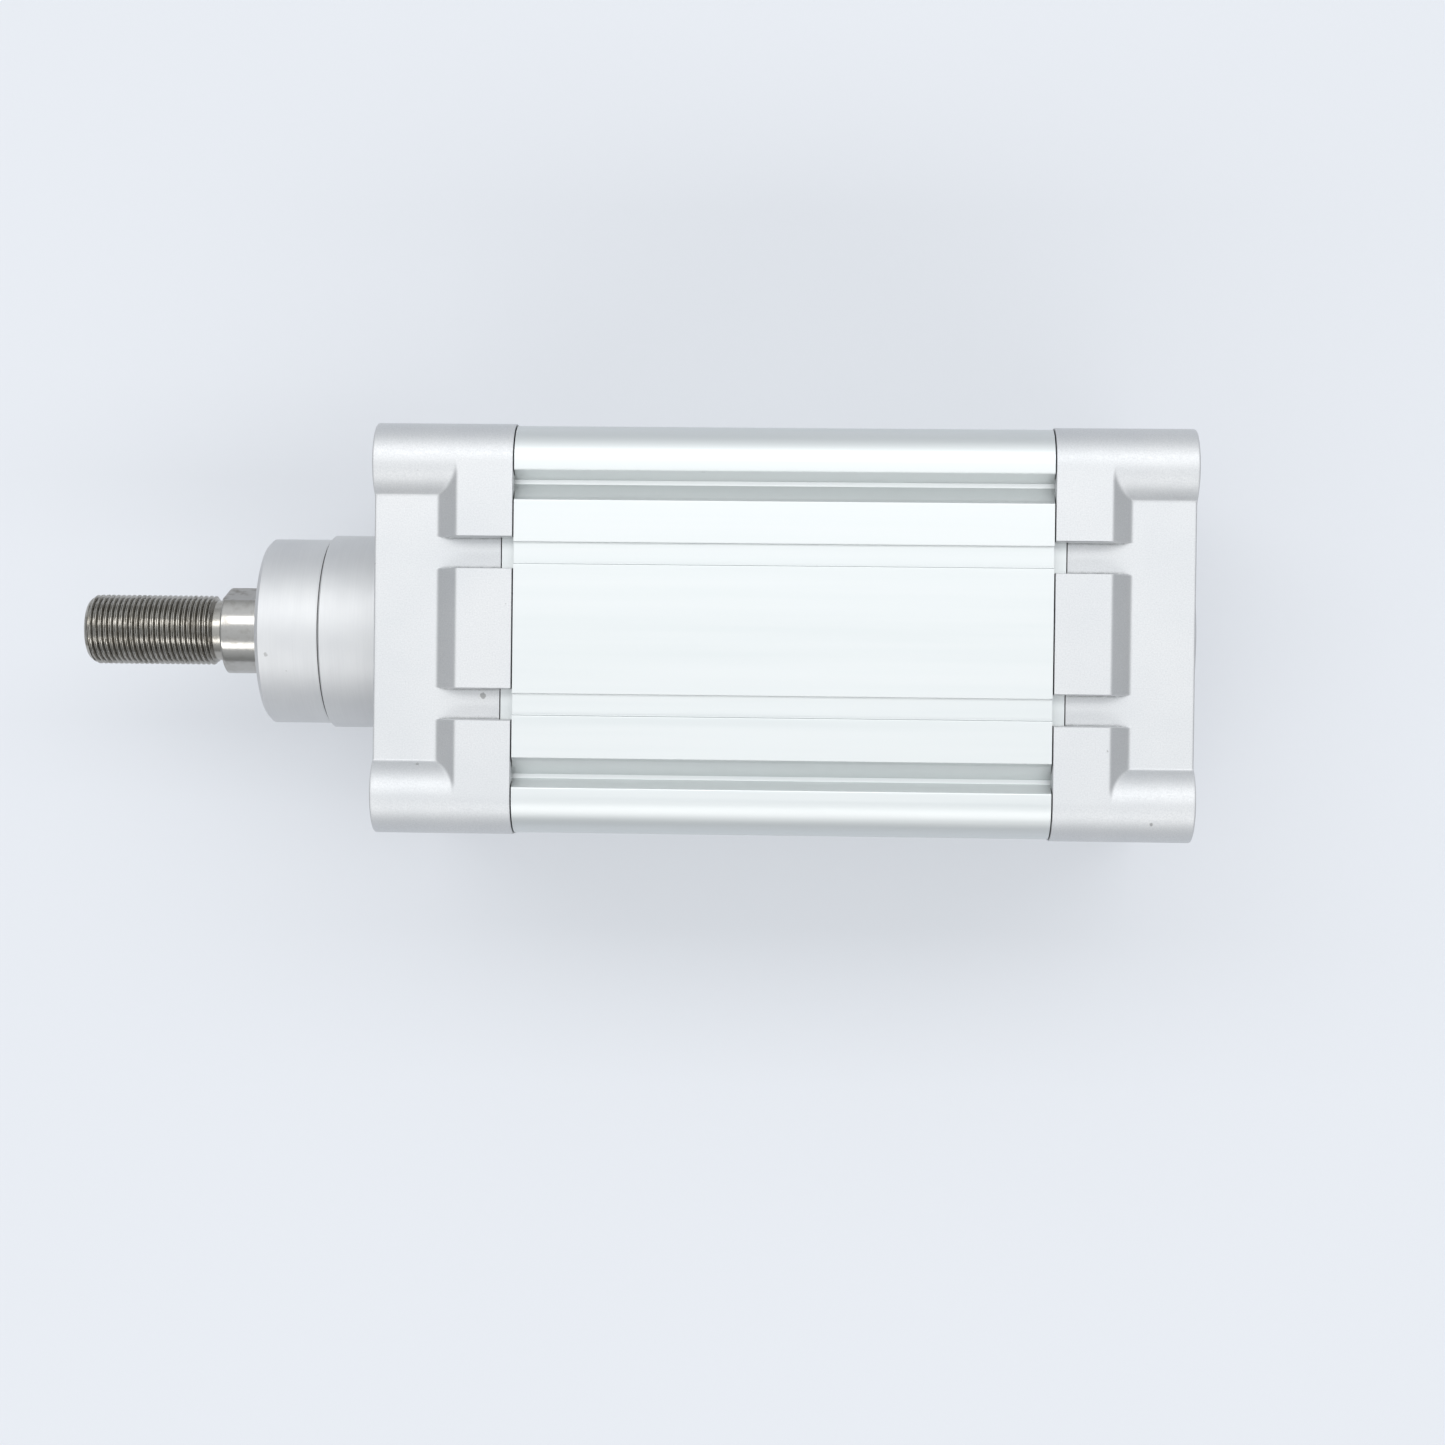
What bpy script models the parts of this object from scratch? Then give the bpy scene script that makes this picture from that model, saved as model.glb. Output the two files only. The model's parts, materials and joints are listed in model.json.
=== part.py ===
"""Double-acting pneumatic cylinder with a square profile barrel: 100 mm bore, 80 mm stroke.

Its mounting sizes follow ISO 15552. It lies on one flat side, its rod pointing along -X, and the
origin is the middle of the box that it fills, at the bottom. Lengths below are in millimetres.
"Depth" is measured along the axis from a cap's outer face, positive towards the middle.
"""

import math

import bmesh
import bpy
from mathutils import Matrix

MM = 0.001

# Mounting sizes of a 100 mm ISO 15552 cylinder, and the stroke.
BORE = 100.0
STROKE = 80.0
CAP_WIDTH = 110.0
CAPS_APART_AT_NO_STROKE = 138.0
SCREW_SPACING = 89.0
COLLAR_DIAMETER = 55.0
COLLAR_LENGTH = 38.0
ROD_DIAMETER = 25.0
ROD_SHOULDER_AHEAD = 51.0
ROD_THREAD_LENGTH = 40.0
ROD_THREAD_MAJOR = 19.9
ROD_THREAD_PITCH = 1.5
ROD_FLATS_ACROSS = 22.0
REAR_PILOT_LENGTH = 4.0
PORT_DEPTH = 18.8
PORT_DIAMETER = 19.0

# What follows from them.
HALF = CAP_WIDTH / 2
SCREW_OFFSET = SCREW_SPACING / 2
CORNER_RADIUS = HALF - SCREW_OFFSET
CAPS_APART = CAPS_APART_AT_NO_STROKE + STROKE
TIP_AHEAD = ROD_SHOULDER_AHEAD + ROD_THREAD_LENGTH
OVERALL = TIP_AHEAD + CAPS_APART + REAR_PILOT_LENGTH
FRONT_FACE_X = TIP_AHEAD - OVERALL / 2
REAR_FACE_X = FRONT_FACE_X + CAPS_APART
AXIS_HEIGHT = HALF

# Clearance between pieces that touch or slide on each other.
GAP = 0.3

# Caps: a plate with three recessed sides, and a skirt that overlaps the barrel's stepped end.
CAP_LENGTH = 37.5
RECESS_LEVEL = 50.0
RECESS_DEPTH = 17.1
PAD_DEPTH = 22.6
CHANNEL_INNER = 16.0
CHANNEL_OUTER = 24.2
SKIRT_HALF = 51.2
SKIRT_START = 33.9
COLLAR_STEP = 19.8
COLLAR_NOSE_DIAMETER = 52.7
EDGE = 0.8
PLUG_RADIUS = BORE / 2 - 0.4
PLUG_DEPTH = 49.0
O_RING_GROOVE = (42.0, 46.0, 46.6)
CORE_HOLE_RADIUS = 26.0
BUSH_SEAT_RADIUS = 15.3
WIPER_SEAT_RADIUS = 18.3
CUSHION_CHAMBER_RADIUS = 21.0
CUSHION_CHAMBER_DEPTH = 11.0
CUSHION_GROOVE = (40.0, 47.0, 24.3)
PORT_OFFSET = 10.0
CUSHION_SCREW_OFFSET = -14.0
RECESSED_SIDES = (0, 2, 3)

# Corner screws: a long head, threaded inside for the mounting bolt, on a 10 mm shank.
HEAD_RADIUS = 7.8
HEAD_LENGTH = 20.2
HEAD_SUNK = 0.5
SHANK_RADIUS = 5.0
SHANK_END = 60.0
SCREW_HOLE_RADIUS = SHANK_RADIUS + GAP
MOUNTING_THREAD_RADIUS = 4.25
MOUNTING_THREAD_DEPTH = 17.0
SOCKET_ACROSS = 6.0

# Barrel: an extrusion with two V grooves and two shallow channels on each side.
BARREL_START = SKIRT_START + GAP
SHOULDER_DEPTH = 38.4
BARREL_HALF = 54.5
STEP_HALF = SKIRT_HALF - GAP
GROOVE = ((41.97, 0.0), (39.75, 5.5), (38.55, 5.5), (34.1, 0.0))
CHANNEL = (17.2, 22.9, 1.0)

# Piston group, measured from the piston's front face, and the parts that seal it.
PISTON_LENGTH = CAPS_APART_AT_NO_STROKE - 2 * PLUG_DEPTH - 2 * GAP
PISTON_FRONT_X = CAPS_APART - PLUG_DEPTH - GAP - PISTON_LENGTH
PISTON_RADIUS = 49.5
RING_RADIUS = BORE / 2 - GAP
DISC_SPLIT = 19.5
LIP_SEAL_GROOVE = (2.4, 9.4, 43.0)
MAGNET_SEAT = (12.5, 23.1, 41.0)
GUIDE_GROOVE = (24.5, 29.0, 47.0)
SLEEVE_RADIUS = 18.0
SLEEVE_LENGTH = 26.0
ROD_STEP = 5.0
ROD_TAIL_RADIUS = 9.0

# Facets of a full turn.
BORE_TURN = 48
CAP_TURN = 32
RING_TURN = 32
SMALL_TURN = 16
THREAD_TURN = 12
CORNER_STEPS = 5

ALUMINIUM = ("cast_aluminium", (0.78, 0.79, 0.80), 0.45, 1.0)
ANODISED = ("anodised_aluminium", (0.86, 0.87, 0.87), 0.35, 1.0)
CHROMED = ("chromed_steel", (0.62, 0.61, 0.59), 0.18, 1.0)
ZINC = ("zinc_plated_steel", (0.60, 0.61, 0.63), 0.35, 1.0)
BRONZE = ("sintered_bronze", (0.56, 0.40, 0.22), 0.45, 1.0)
RUBBER = ("black_rubber", (0.03, 0.03, 0.03), 0.70, 0.0)
POLYURETHANE = ("green_polyurethane", (0.10, 0.26, 0.22), 0.50, 0.0)
ACETAL = ("white_acetal", (0.80, 0.80, 0.76), 0.45, 0.0)
FERRITE = ("ferrite", (0.12, 0.12, 0.13), 0.60, 0.2)


def clear_scene():
    for obj in list(bpy.data.objects):
        bpy.data.objects.remove(obj)


def material(finish):
    name, colour, roughness, metallic = finish
    found = bpy.data.materials.get(name)
    if found:
        return found
    made = bpy.data.materials.new(name)
    made.use_nodes = True
    shader = made.node_tree.nodes["Principled BSDF"]
    shader.inputs["Base Color"].default_value = (*colour, 1.0)
    shader.inputs["Roughness"].default_value = roughness
    shader.inputs["Metallic"].default_value = metallic
    return made


def new_object(name, bm, finish=None):
    """An object of the bmesh, whose lengths are millimetres, with its faces turned outwards."""
    bmesh.ops.scale(bm, vec=(MM, MM, MM), verts=bm.verts)
    bmesh.ops.recalc_face_normals(bm, faces=bm.faces)
    mesh = bpy.data.meshes.new(name)
    bm.to_mesh(mesh)
    bm.free()
    obj = bpy.data.objects.new(name, mesh)
    bpy.context.scene.collection.objects.link(obj)
    if finish:
        mesh.materials.append(material(finish))
    return obj


def turned(name, profile, segments=RING_TURN, finish=None):
    """A solid turned about its own X axis from a closed outline of (x, radius) points."""
    bm = bmesh.new()
    points = [bm.verts.new((x, 0.0, radius)) for x, radius in profile]
    edges = [bm.edges.new((a, b)) for a, b in zip(points, points[1:] + points[:1])]
    bmesh.ops.spin(
        bm, geom=points + edges, cent=(0, 0, 0), axis=(1, 0, 0), angle=math.tau,
        steps=segments, use_merge=True, use_duplicate=False,
    )
    bmesh.ops.remove_doubles(bm, verts=bm.verts, dist=1e-4)
    on_axis = [e for e in bm.edges if not e.link_faces]
    bmesh.ops.delete(bm, geom=on_axis, context="EDGES")
    return new_object(name, bm, finish)


def prism(name, outline, start, end, finish=None):
    """A solid with this (y, z) outline between two planes across X. An end may be a function of (y, z)."""
    bm = bmesh.new()
    ends = []
    for plane in (start, end):
        at = plane if callable(plane) else (lambda y, z, x=plane: x)
        ends.append([bm.verts.new((at(y, z), y, z)) for y, z in outline])
    near, far = ends
    bm.faces.new(near)
    bm.faces.new(list(reversed(far)))
    for i in range(len(outline)):
        j = (i + 1) % len(outline)
        bm.faces.new((near[i], far[i], far[j], near[j]))
    return new_object(name, bm, finish)


def bake(obj):
    """Applies the object's modifiers."""
    graph = bpy.context.evaluated_depsgraph_get()
    made = bpy.data.meshes.new_from_object(obj.evaluated_get(graph))
    obj.modifiers.clear()
    old, obj.data = obj.data, made
    bpy.data.meshes.remove(old)


def combine(target, operation, tools):
    for tool in tools:
        modifier = target.modifiers.new(tool.name, "BOOLEAN")
        modifier.operation = operation
        modifier.object = tool
    bpy.context.view_layer.update()
    bake(target)
    for tool in tools:
        bpy.data.objects.remove(tool)
    return target


def cut(target, *tools):
    return combine(target, "DIFFERENCE", tools)


def join(target, *tools):
    return combine(target, "UNION", tools)


def finished(obj, parent, finish):
    """Gives the piece its one material, shades its round faces smooth and hangs it on its parent."""
    obj.data.materials.clear()
    obj.data.materials.append(material(finish))
    for polygon in obj.data.polygons:
        polygon.material_index = 0
    obj.data.shade_smooth()
    obj.data.set_sharp_from_angle(angle=math.radians(30))
    obj.parent = parent
    return obj


def arc(centre_y, centre_z, radius, start, end, steps):
    """Points (y, z) round a centre, from one angle to another in degrees, 0 along +Y."""
    angles = [math.radians(start + (end - start) * i / steps) for i in range(steps + 1)]
    return [(centre_y + radius * math.cos(a), centre_z + radius * math.sin(a)) for a in angles]


def rounded_square(half, radius):
    """The outline of a square with round corners, counter-clockwise from its +Y side."""
    middle = half - radius
    points = []
    for turn in range(4):
        quarter = arc(middle, middle, radius, 0, 90, CORNER_STEPS)
        points += [rotated(point, turn) for point in quarter]
    return points


def rotated(point, quarter_turns):
    """The (y, z) point turned about the X axis by quarter turns."""
    y, z = point
    for _ in range(quarter_turns % 4):
        y, z = -z, y
    return y, z


def towards_port(obj, depth_x, offset_z):
    """Turns a piece made along X so that it points out of the -Y side, its origin on that side's face."""
    obj.matrix_world = Matrix.Translation((depth_x * MM, -HALF * MM, offset_z * MM)) @ Matrix.Rotation(
        math.radians(-90), 4, "Z"
    )
    return obj


def recess_tool(quarter_turns, to_x):
    """The hollow of one cap side: between two corner posts, down to the plate, with a sloping inner end."""
    drop = RECESS_LEVEL - SCREW_OFFSET
    foot = 180 - math.degrees(math.asin(drop / CORNER_RADIUS))
    right = arc(SCREW_OFFSET, SCREW_OFFSET, CORNER_RADIUS, foot, 90, CORNER_STEPS)
    left = [(-y, z) for y, z in reversed(right)]
    top = HALF + 1
    outline = right + [(SCREW_OFFSET, top), (-SCREW_OFFSET, top)] + left
    slope = (PAD_DEPTH - RECESS_DEPTH) / (HALF - RECESS_LEVEL)

    def inner_end(y, z):
        level = rotated((y, z), -quarter_turns)[1]
        return to_x(RECESS_DEPTH + (level - RECESS_LEVEL) * slope)

    turned_outline = [rotated(point, quarter_turns) for point in outline]
    return prism(f"recess_{quarter_turns}", turned_outline, to_x(-1.0), inner_end)


def channel_tool(quarter_turns, side, to_x):
    """The channel that carries a barrel channel on through a cap's pads."""
    outline = [
        (side * CHANNEL_INNER, RECESS_LEVEL),
        (side * CHANNEL_OUTER, RECESS_LEVEL),
        (side * CHANNEL_OUTER, HALF + 1),
        (side * CHANNEL_INNER, HALF + 1),
    ]
    turned_outline = [rotated(point, quarter_turns) for point in outline]
    start, end = to_x(RECESS_DEPTH - 3), to_x(CAP_LENGTH + 2)
    return prism(f"channel_{quarter_turns}_{side}", turned_outline, start, end)


def corner_positions():
    return [rotated((SCREW_OFFSET, SCREW_OFFSET), turn) for turn in range(4)]


def cap_plate(name, to_x):
    """The square part of a cap, with a hole for its core. to_x turns a depth into an X position."""
    plate = prism(name, rounded_square(HALF, CORNER_RADIUS), to_x(0), to_x(CAP_LENGTH))
    skirt = rounded_square(SKIRT_HALF, SKIRT_HALF - SCREW_OFFSET)
    end = SKIRT_START + 1
    hole = [(-1.0, 0.0), (-1.0, CORE_HOLE_RADIUS), (end, CORE_HOLE_RADIUS), (end, 0.0)]
    cut(
        plate,
        prism("skirt_pocket", skirt, to_x(SKIRT_START), to_x(CAP_LENGTH + 1)),
        turned("core_hole", [(to_x(u), r) for u, r in hole], CAP_TURN),
    )
    for quarter_turns in RECESSED_SIDES:
        cut(
            plate,
            recess_tool(quarter_turns, to_x),
            channel_tool(quarter_turns, 1, to_x),
            channel_tool(quarter_turns, -1, to_x),
        )
    return plate


def plug_outline():
    """The part of a core's outline inside the barrel, as (depth, radius) from its outside to its chamber."""
    groove_near, groove_far, groove_radius = O_RING_GROOVE
    seal_near, seal_far, seal_radius = CUSHION_GROOVE
    return [
        (SKIRT_START - 2, COLLAR_DIAMETER / 2),
        (SKIRT_START - 2, PLUG_RADIUS),
        (groove_near, PLUG_RADIUS),
        (groove_near, groove_radius),
        (groove_far, groove_radius),
        (groove_far, PLUG_RADIUS),
        (PLUG_DEPTH - EDGE, PLUG_RADIUS),
        (PLUG_DEPTH, PLUG_RADIUS - EDGE),
        (PLUG_DEPTH, CUSHION_CHAMBER_RADIUS),
        (seal_far, CUSHION_CHAMBER_RADIUS),
        (seal_far, seal_radius),
        (seal_near, seal_radius),
        (seal_near, CUSHION_CHAMBER_RADIUS),
        (CUSHION_CHAMBER_DEPTH, CUSHION_CHAMBER_RADIUS),
    ]


def drill_cap(cap, to_x):
    """Cuts a cap's screw holes, its port and the seat of its cushion screw."""
    hole = [
        (-1.0, 0.0),
        (-1.0, HEAD_RADIUS + GAP),
        (HEAD_SUNK + HEAD_LENGTH + GAP, HEAD_RADIUS + GAP),
        (HEAD_SUNK + HEAD_LENGTH + GAP, SCREW_HOLE_RADIUS),
        (SKIRT_START + 2, SCREW_HOLE_RADIUS),
        (SKIRT_START + 2, 0.0),
    ]
    tools = []
    for y, z in corner_positions():
        tool = turned("screw_hole", [(to_x(u), r) for u, r in hole], SMALL_TURN)
        tool.location = (0, y * MM, z * MM)
        tools.append(tool)
    cut(cap, *tools)
    port_radius = PORT_DIAMETER / 2
    port = [
        (1.0, 0.0),
        (1.0, port_radius + 2.2),
        (-1.2, port_radius),
        (-16.0, port_radius),
        (-18.0, 6.0),
        (-45.0, 6.0),
        (-45.0, 0.0),
    ]
    needle_bore = [(1.0, 0.0), (1.0, 4.8), (-19.8, 4.8), (-19.8, 0.0)]
    cut(
        cap,
        towards_port(turned("port", port, 24), to_x(PORT_DEPTH), PORT_OFFSET),
        towards_port(turned("needle_bore", needle_bore, SMALL_TURN), to_x(PORT_DEPTH), CUSHION_SCREW_OFFSET),
    )
    return cap


def front_to_x(depth):
    return depth


def rear_to_x(depth):
    return CAPS_APART - depth


def front_cap(parent):
    """The front cap, whose collar holds the rod's bush and wiper."""
    nose, full = COLLAR_NOSE_DIAMETER / 2, COLLAR_DIAMETER / 2
    outline = [
        (-COLLAR_LENGTH, WIPER_SEAT_RADIUS),
        (-COLLAR_LENGTH, nose - EDGE),
        (-COLLAR_LENGTH + EDGE, nose),
        (-COLLAR_STEP, nose),
        (-COLLAR_STEP, full - EDGE),
        (-COLLAR_STEP + EDGE, full),
    ]
    outline += plug_outline()
    outline += [
        (CUSHION_CHAMBER_DEPTH, BUSH_SEAT_RADIUS),
        (-25.0, BUSH_SEAT_RADIUS),
        (-25.0, 13.4),
        (-30.0, 13.4),
        (-30.0, WIPER_SEAT_RADIUS),
    ]
    cap = join(cap_plate("front_cap", front_to_x), turned("core", outline, CAP_TURN))
    drill_cap(cap, front_to_x)
    return finished(cap, parent, ALUMINIUM)


def rear_cap(parent):
    """The rear cap, with a short pilot outside."""
    full = COLLAR_DIAMETER / 2
    outer = -REAR_PILOT_LENGTH
    outline = [(outer, 0.0), (outer, full - EDGE), (outer + EDGE, full)]
    outline += plug_outline()
    outline += [(CUSHION_CHAMBER_DEPTH, 0.0)]
    core = turned("core", [(rear_to_x(u), r) for u, r in outline], CAP_TURN)
    cap = join(cap_plate("rear_cap", rear_to_x), core)
    drill_cap(cap, rear_to_x)
    return finished(cap, parent, ALUMINIUM)


def barrel_outline():
    """The extrusion's section, counter-clockwise: on each side two V grooves and two channels."""
    inner, outer, deep = CHANNEL
    middle = BARREL_HALF - CORNER_RADIUS + 0.5
    half_side = [(y, BARREL_HALF - drop) for y, drop in GROOVE]
    half_side += [
        (outer, BARREL_HALF),
        (outer, BARREL_HALF - deep),
        (inner, BARREL_HALF - deep),
        (inner, BARREL_HALF),
    ]
    side = half_side + [(-y, z) for y, z in reversed(half_side)]
    points = []
    for turn in range(4):
        corner = arc(middle, middle, BARREL_HALF - middle, 0, 90, CORNER_STEPS)
        points += [rotated(point, turn) for point in corner + side]
    return points


def barrel(parent):
    """The extruded barrel. Both ends are milled down so that they fit in the caps' skirts."""
    tube = prism("barrel", barrel_outline(), BARREL_START, CAPS_APART - BARREL_START)
    for start in (BARREL_START - 1, CAPS_APART - SHOULDER_DEPTH):
        cut(tube, step_cutter(start, start + SHOULDER_DEPTH - BARREL_START + 1))
    through = [(0.0, 0.0), (0.0, 1.0), (CAPS_APART, 1.0), (CAPS_APART, 0.0)]
    tools = [turned("bore", [(x, r * BORE / 2) for x, r in through], BORE_TURN)]
    for y, z in corner_positions():
        tool = turned("screw_channel", [(x, r * SCREW_HOLE_RADIUS) for x, r in through], SMALL_TURN)
        tool.location = (0, y * MM, z * MM)
        tools.append(tool)
    cut(tube, *tools)
    return finished(tube, parent, ANODISED)


def step_cutter(start, end):
    """A frame that takes the barrel's outside away down to the step, and to the cap's channels."""
    frame = prism("frame", rounded_square(HALF + 5, 5), start, end)
    cut(frame, prism("step", rounded_square(STEP_HALF, STEP_HALF - SCREW_OFFSET), start - 1, end + 1))
    inner, outer, level = CHANNEL_INNER - 0.1, CHANNEL_OUTER + 0.1, RECESS_LEVEL - 0.1
    outline = [(inner, level), (outer, level), (outer, HALF), (inner, HALF)]
    blocks = []
    for quarter_turns in RECESSED_SIDES:
        for side in (1, -1):
            placed = [rotated((side * y, z), quarter_turns) for y, z in outline]
            blocks.append(prism("channel", placed, start, end))
    return join(frame, *blocks)


def corner_screw(name, y, z, to_x, parent):
    """A screw whose head is threaded inside, with a hexagon socket at the bottom of that thread."""
    head_end = HEAD_SUNK + HEAD_LENGTH
    thread_end = HEAD_SUNK + MOUNTING_THREAD_DEPTH
    outline = [
        (thread_end, 0.0),
        (thread_end, MOUNTING_THREAD_RADIUS),
        (HEAD_SUNK + EDGE, MOUNTING_THREAD_RADIUS),
        (HEAD_SUNK, MOUNTING_THREAD_RADIUS + EDGE),
        (HEAD_SUNK, HEAD_RADIUS - EDGE / 2),
        (HEAD_SUNK + EDGE / 2, HEAD_RADIUS),
        (head_end, HEAD_RADIUS),
        (head_end, SHANK_RADIUS),
        (SHANK_END - 1, SHANK_RADIUS),
        (SHANK_END, SHANK_RADIUS - 1),
        (SHANK_END, 0.0),
    ]
    screw = turned(name, [(to_x(u), r) for u, r in outline], SMALL_TURN)
    corner = SOCKET_ACROSS / math.sqrt(3)
    hexagon = arc(0, 0, corner, 0, 300, 5)
    cut(screw, prism("socket", hexagon, to_x(thread_end - 1), to_x(thread_end + 5)))
    screw.location = (0, y * MM, z * MM)
    return finished(screw, parent, ZINC)


def ring(name, outline, parent, finish, segments=RING_TURN):
    return finished(turned(name, outline, segments), parent, finish)


def round_section(middle_x, middle_radius, section_radius, sides=6):
    """The round cross-section of an O-ring, as (x, radius) points."""
    angles = [math.tau * (i + 0.5) / sides for i in range(sides)]
    return [
        (middle_x + section_radius * math.cos(a), middle_radius + section_radius * math.sin(a)) for a in angles
    ]


def cushion_seal(name, to_x, parent):
    """A lip ring held in the chamber's groove: its lip leans towards the chamber's closed end."""
    near, far, radius = CUSHION_GROOVE
    inner = SLEEVE_RADIUS + GAP + 0.1
    outline = [
        (near + GAP, radius - GAP),
        (near + GAP, CUSHION_CHAMBER_RADIUS - 1.2),
        (near + GAP, inner),
        (near + 2.0, inner + 0.6),
        (far - GAP, inner + 1.6),
        (far - GAP, radius - GAP),
    ]
    return ring(name, [(to_x(u), r) for u, r in outline], parent, POLYURETHANE)


def rod_way_parts(parent):
    """The sleeve that guides the rod, and the seal that wipes it, both in the front cap."""
    bush_inner = ROD_DIAMETER / 2 + GAP
    bush = [(-24.7, bush_inner), (-24.7, 15.0), (10.7, 15.0), (10.7, bush_inner)]
    ring("rod_bearing_bush", bush, parent, BRONZE)
    wiper = [
        (-30.3, 13.2),
        (-30.3, 18.0),
        (-COLLAR_LENGTH + 0.6, 18.0),
        (-COLLAR_LENGTH + 0.6, 16.6),
        (-COLLAR_LENGTH - 1.2, 13.6),
        (-COLLAR_LENGTH - 1.2, bush_inner),
        (-COLLAR_LENGTH + 1.4, 13.7),
        (-34.5, 13.7),
        (-32.5, bush_inner),
    ]
    ring("rod_wiper_seal", wiper, parent, POLYURETHANE)


def cap_parts(end_name, to_x, parent):
    """The pieces that each cap holds: its screws, its cushion seal and the O-ring on its plug."""
    for number, (y, z) in enumerate(corner_positions(), start=1):
        corner_screw(f"{end_name}_cap_screw_{number}", y, z, to_x, parent)
    cushion_seal(f"{end_name}_cushion_seal", to_x, parent)
    near, far, radius = O_RING_GROOVE
    section = 1.45
    middle = to_x((near + far) / 2)
    ring(
        f"{end_name}_barrel_o_ring",
        round_section(middle, radius + GAP + section, section),
        parent,
        RUBBER,
    )


def lip_seal(name, near, far, lip_at_near, parent):
    """A piston seal: a base in the groove and a lip that flares towards the pressure side."""
    base = LIP_SEAL_GROOVE[2] + GAP
    a, b = (near, far) if lip_at_near else (far, near)
    inwards = 1 if lip_at_near else -1
    outline = [
        (b, base),
        (b, RING_RADIUS - 1.6),
        (b - 1.5 * inwards, RING_RADIUS - 0.9),
        (a, RING_RADIUS),
        (a + 0.4 * inwards, RING_RADIUS - 1.3),
        (a + 3.2 * inwards, base + 2.4),
        (a + 0.6 * inwards, base + 1.6),
        (a + 0.6 * inwards, base),
    ]
    return ring(name, outline, parent, POLYURETHANE)


def piston_rings(parent):
    """The soft rings that ride in the piston's grooves."""
    near, far, _ = LIP_SEAL_GROOVE
    lip_seal("piston_seal_front", PISTON_FRONT_X + near + GAP, PISTON_FRONT_X + far - GAP, True, parent)
    mirrored = PISTON_FRONT_X + PISTON_LENGTH
    lip_seal("piston_seal_rear", mirrored - far + GAP, mirrored - near - GAP, False, parent)
    start, end, radius = GUIDE_GROOVE
    outline = [
        (PISTON_FRONT_X + start + GAP, radius + GAP),
        (PISTON_FRONT_X + start + GAP, RING_RADIUS),
        (PISTON_FRONT_X + end - GAP, RING_RADIUS),
        (PISTON_FRONT_X + end - GAP, radius + GAP),
    ]
    ring("piston_guide_ring", outline, parent, ACETAL)


def piston_discs(parent):
    """The piston in two discs that clamp the magnet between them."""
    rod_hole = ROD_DIAMETER / 2 + GAP
    tail_hole = ROD_TAIL_RADIUS + GAP
    seal_near, seal_far, seal_radius = LIP_SEAL_GROOVE
    magnet_near, magnet_far, magnet_radius = MAGNET_SEAT
    guide_near, guide_far, guide_radius = GUIDE_GROOVE
    rod_seal_near, rod_seal_far, rod_seal_radius = 9.0, 12.6, 11.8
    front = [
        (0.0, rod_hole),
        (0.0, PISTON_RADIUS),
        (seal_near, PISTON_RADIUS),
        (seal_near, seal_radius),
        (seal_far, seal_radius),
        (seal_far, PISTON_RADIUS),
        (magnet_near, PISTON_RADIUS),
        (magnet_near, magnet_radius),
        (DISC_SPLIT, magnet_radius),
        (DISC_SPLIT, tail_hole),
        (rod_seal_far, tail_hole),
        (rod_seal_far, rod_seal_radius),
        (rod_seal_near, rod_seal_radius),
        (rod_seal_near, tail_hole),
        (ROD_STEP + GAP, tail_hole),
        (ROD_STEP + GAP, rod_hole),
    ]
    end = PISTON_LENGTH
    rear = [
        (DISC_SPLIT + GAP, tail_hole),
        (DISC_SPLIT + GAP, magnet_radius),
        (magnet_far, magnet_radius),
        (magnet_far, PISTON_RADIUS),
        (guide_near, PISTON_RADIUS),
        (guide_near, guide_radius),
        (guide_far, guide_radius),
        (guide_far, PISTON_RADIUS),
        (end - seal_far, PISTON_RADIUS),
        (end - seal_far, seal_radius),
        (end - seal_near, seal_radius),
        (end - seal_near, PISTON_RADIUS),
        (end, PISTON_RADIUS),
        (end, tail_hole),
    ]
    for name, outline in (("piston_front_disc", front), ("piston_rear_disc", rear)):
        ring(name, [(PISTON_FRONT_X + u, r) for u, r in outline], parent, ALUMINIUM)
    magnet = [
        (magnet_near + GAP, magnet_radius + GAP),
        (magnet_near + GAP, PISTON_RADIUS - 0.4),
        (magnet_far - GAP, PISTON_RADIUS - 0.4),
        (magnet_far - GAP, magnet_radius + GAP),
    ]
    ring("piston_magnet", [(PISTON_FRONT_X + u, r) for u, r in magnet], parent, FERRITE)
    section = (rod_seal_radius - ROD_TAIL_RADIUS) / 2 - GAP
    middle_x = PISTON_FRONT_X + (rod_seal_near + rod_seal_far) / 2
    middle_radius = (rod_seal_radius + ROD_TAIL_RADIUS) / 2
    outline = round_section(middle_x, middle_radius, section)
    ring("piston_rod_o_ring", outline, parent, RUBBER, RING_TURN)


def cushion_pieces(parent):
    """The sleeve ahead of the piston, and the nut behind it that is also the rear cushion sleeve."""
    end = PISTON_FRONT_X - GAP
    start = end - SLEEVE_LENGTH
    inner = ROD_DIAMETER / 2 + GAP
    front = [
        (start, inner),
        (start, SLEEVE_RADIUS - 1.5),
        (start + 3.0, SLEEVE_RADIUS),
        (end, SLEEVE_RADIUS),
        (end, inner),
    ]
    ring("front_cushion_sleeve", front, parent, ALUMINIUM)
    start = PISTON_FRONT_X + PISTON_LENGTH + GAP
    end = start + SLEEVE_LENGTH
    tail_hole = ROD_TAIL_RADIUS + GAP
    rear = [
        (start, tail_hole),
        (start, SLEEVE_RADIUS),
        (end - 3.0, SLEEVE_RADIUS),
        (end, SLEEVE_RADIUS - 1.5),
        (end, 0.0),
        (start + 18.0, 0.0),
        (start + 18.0, tail_hole),
    ]
    nut = turned("rear_cushion_nut", rear)
    hexagon = arc(0, 0, 14.0 / math.sqrt(3), 0, 300, 5)
    cut(nut, prism("nut_socket", hexagon, end - 5.0, end + 1.0))
    finished(nut, parent, ZINC)


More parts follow.
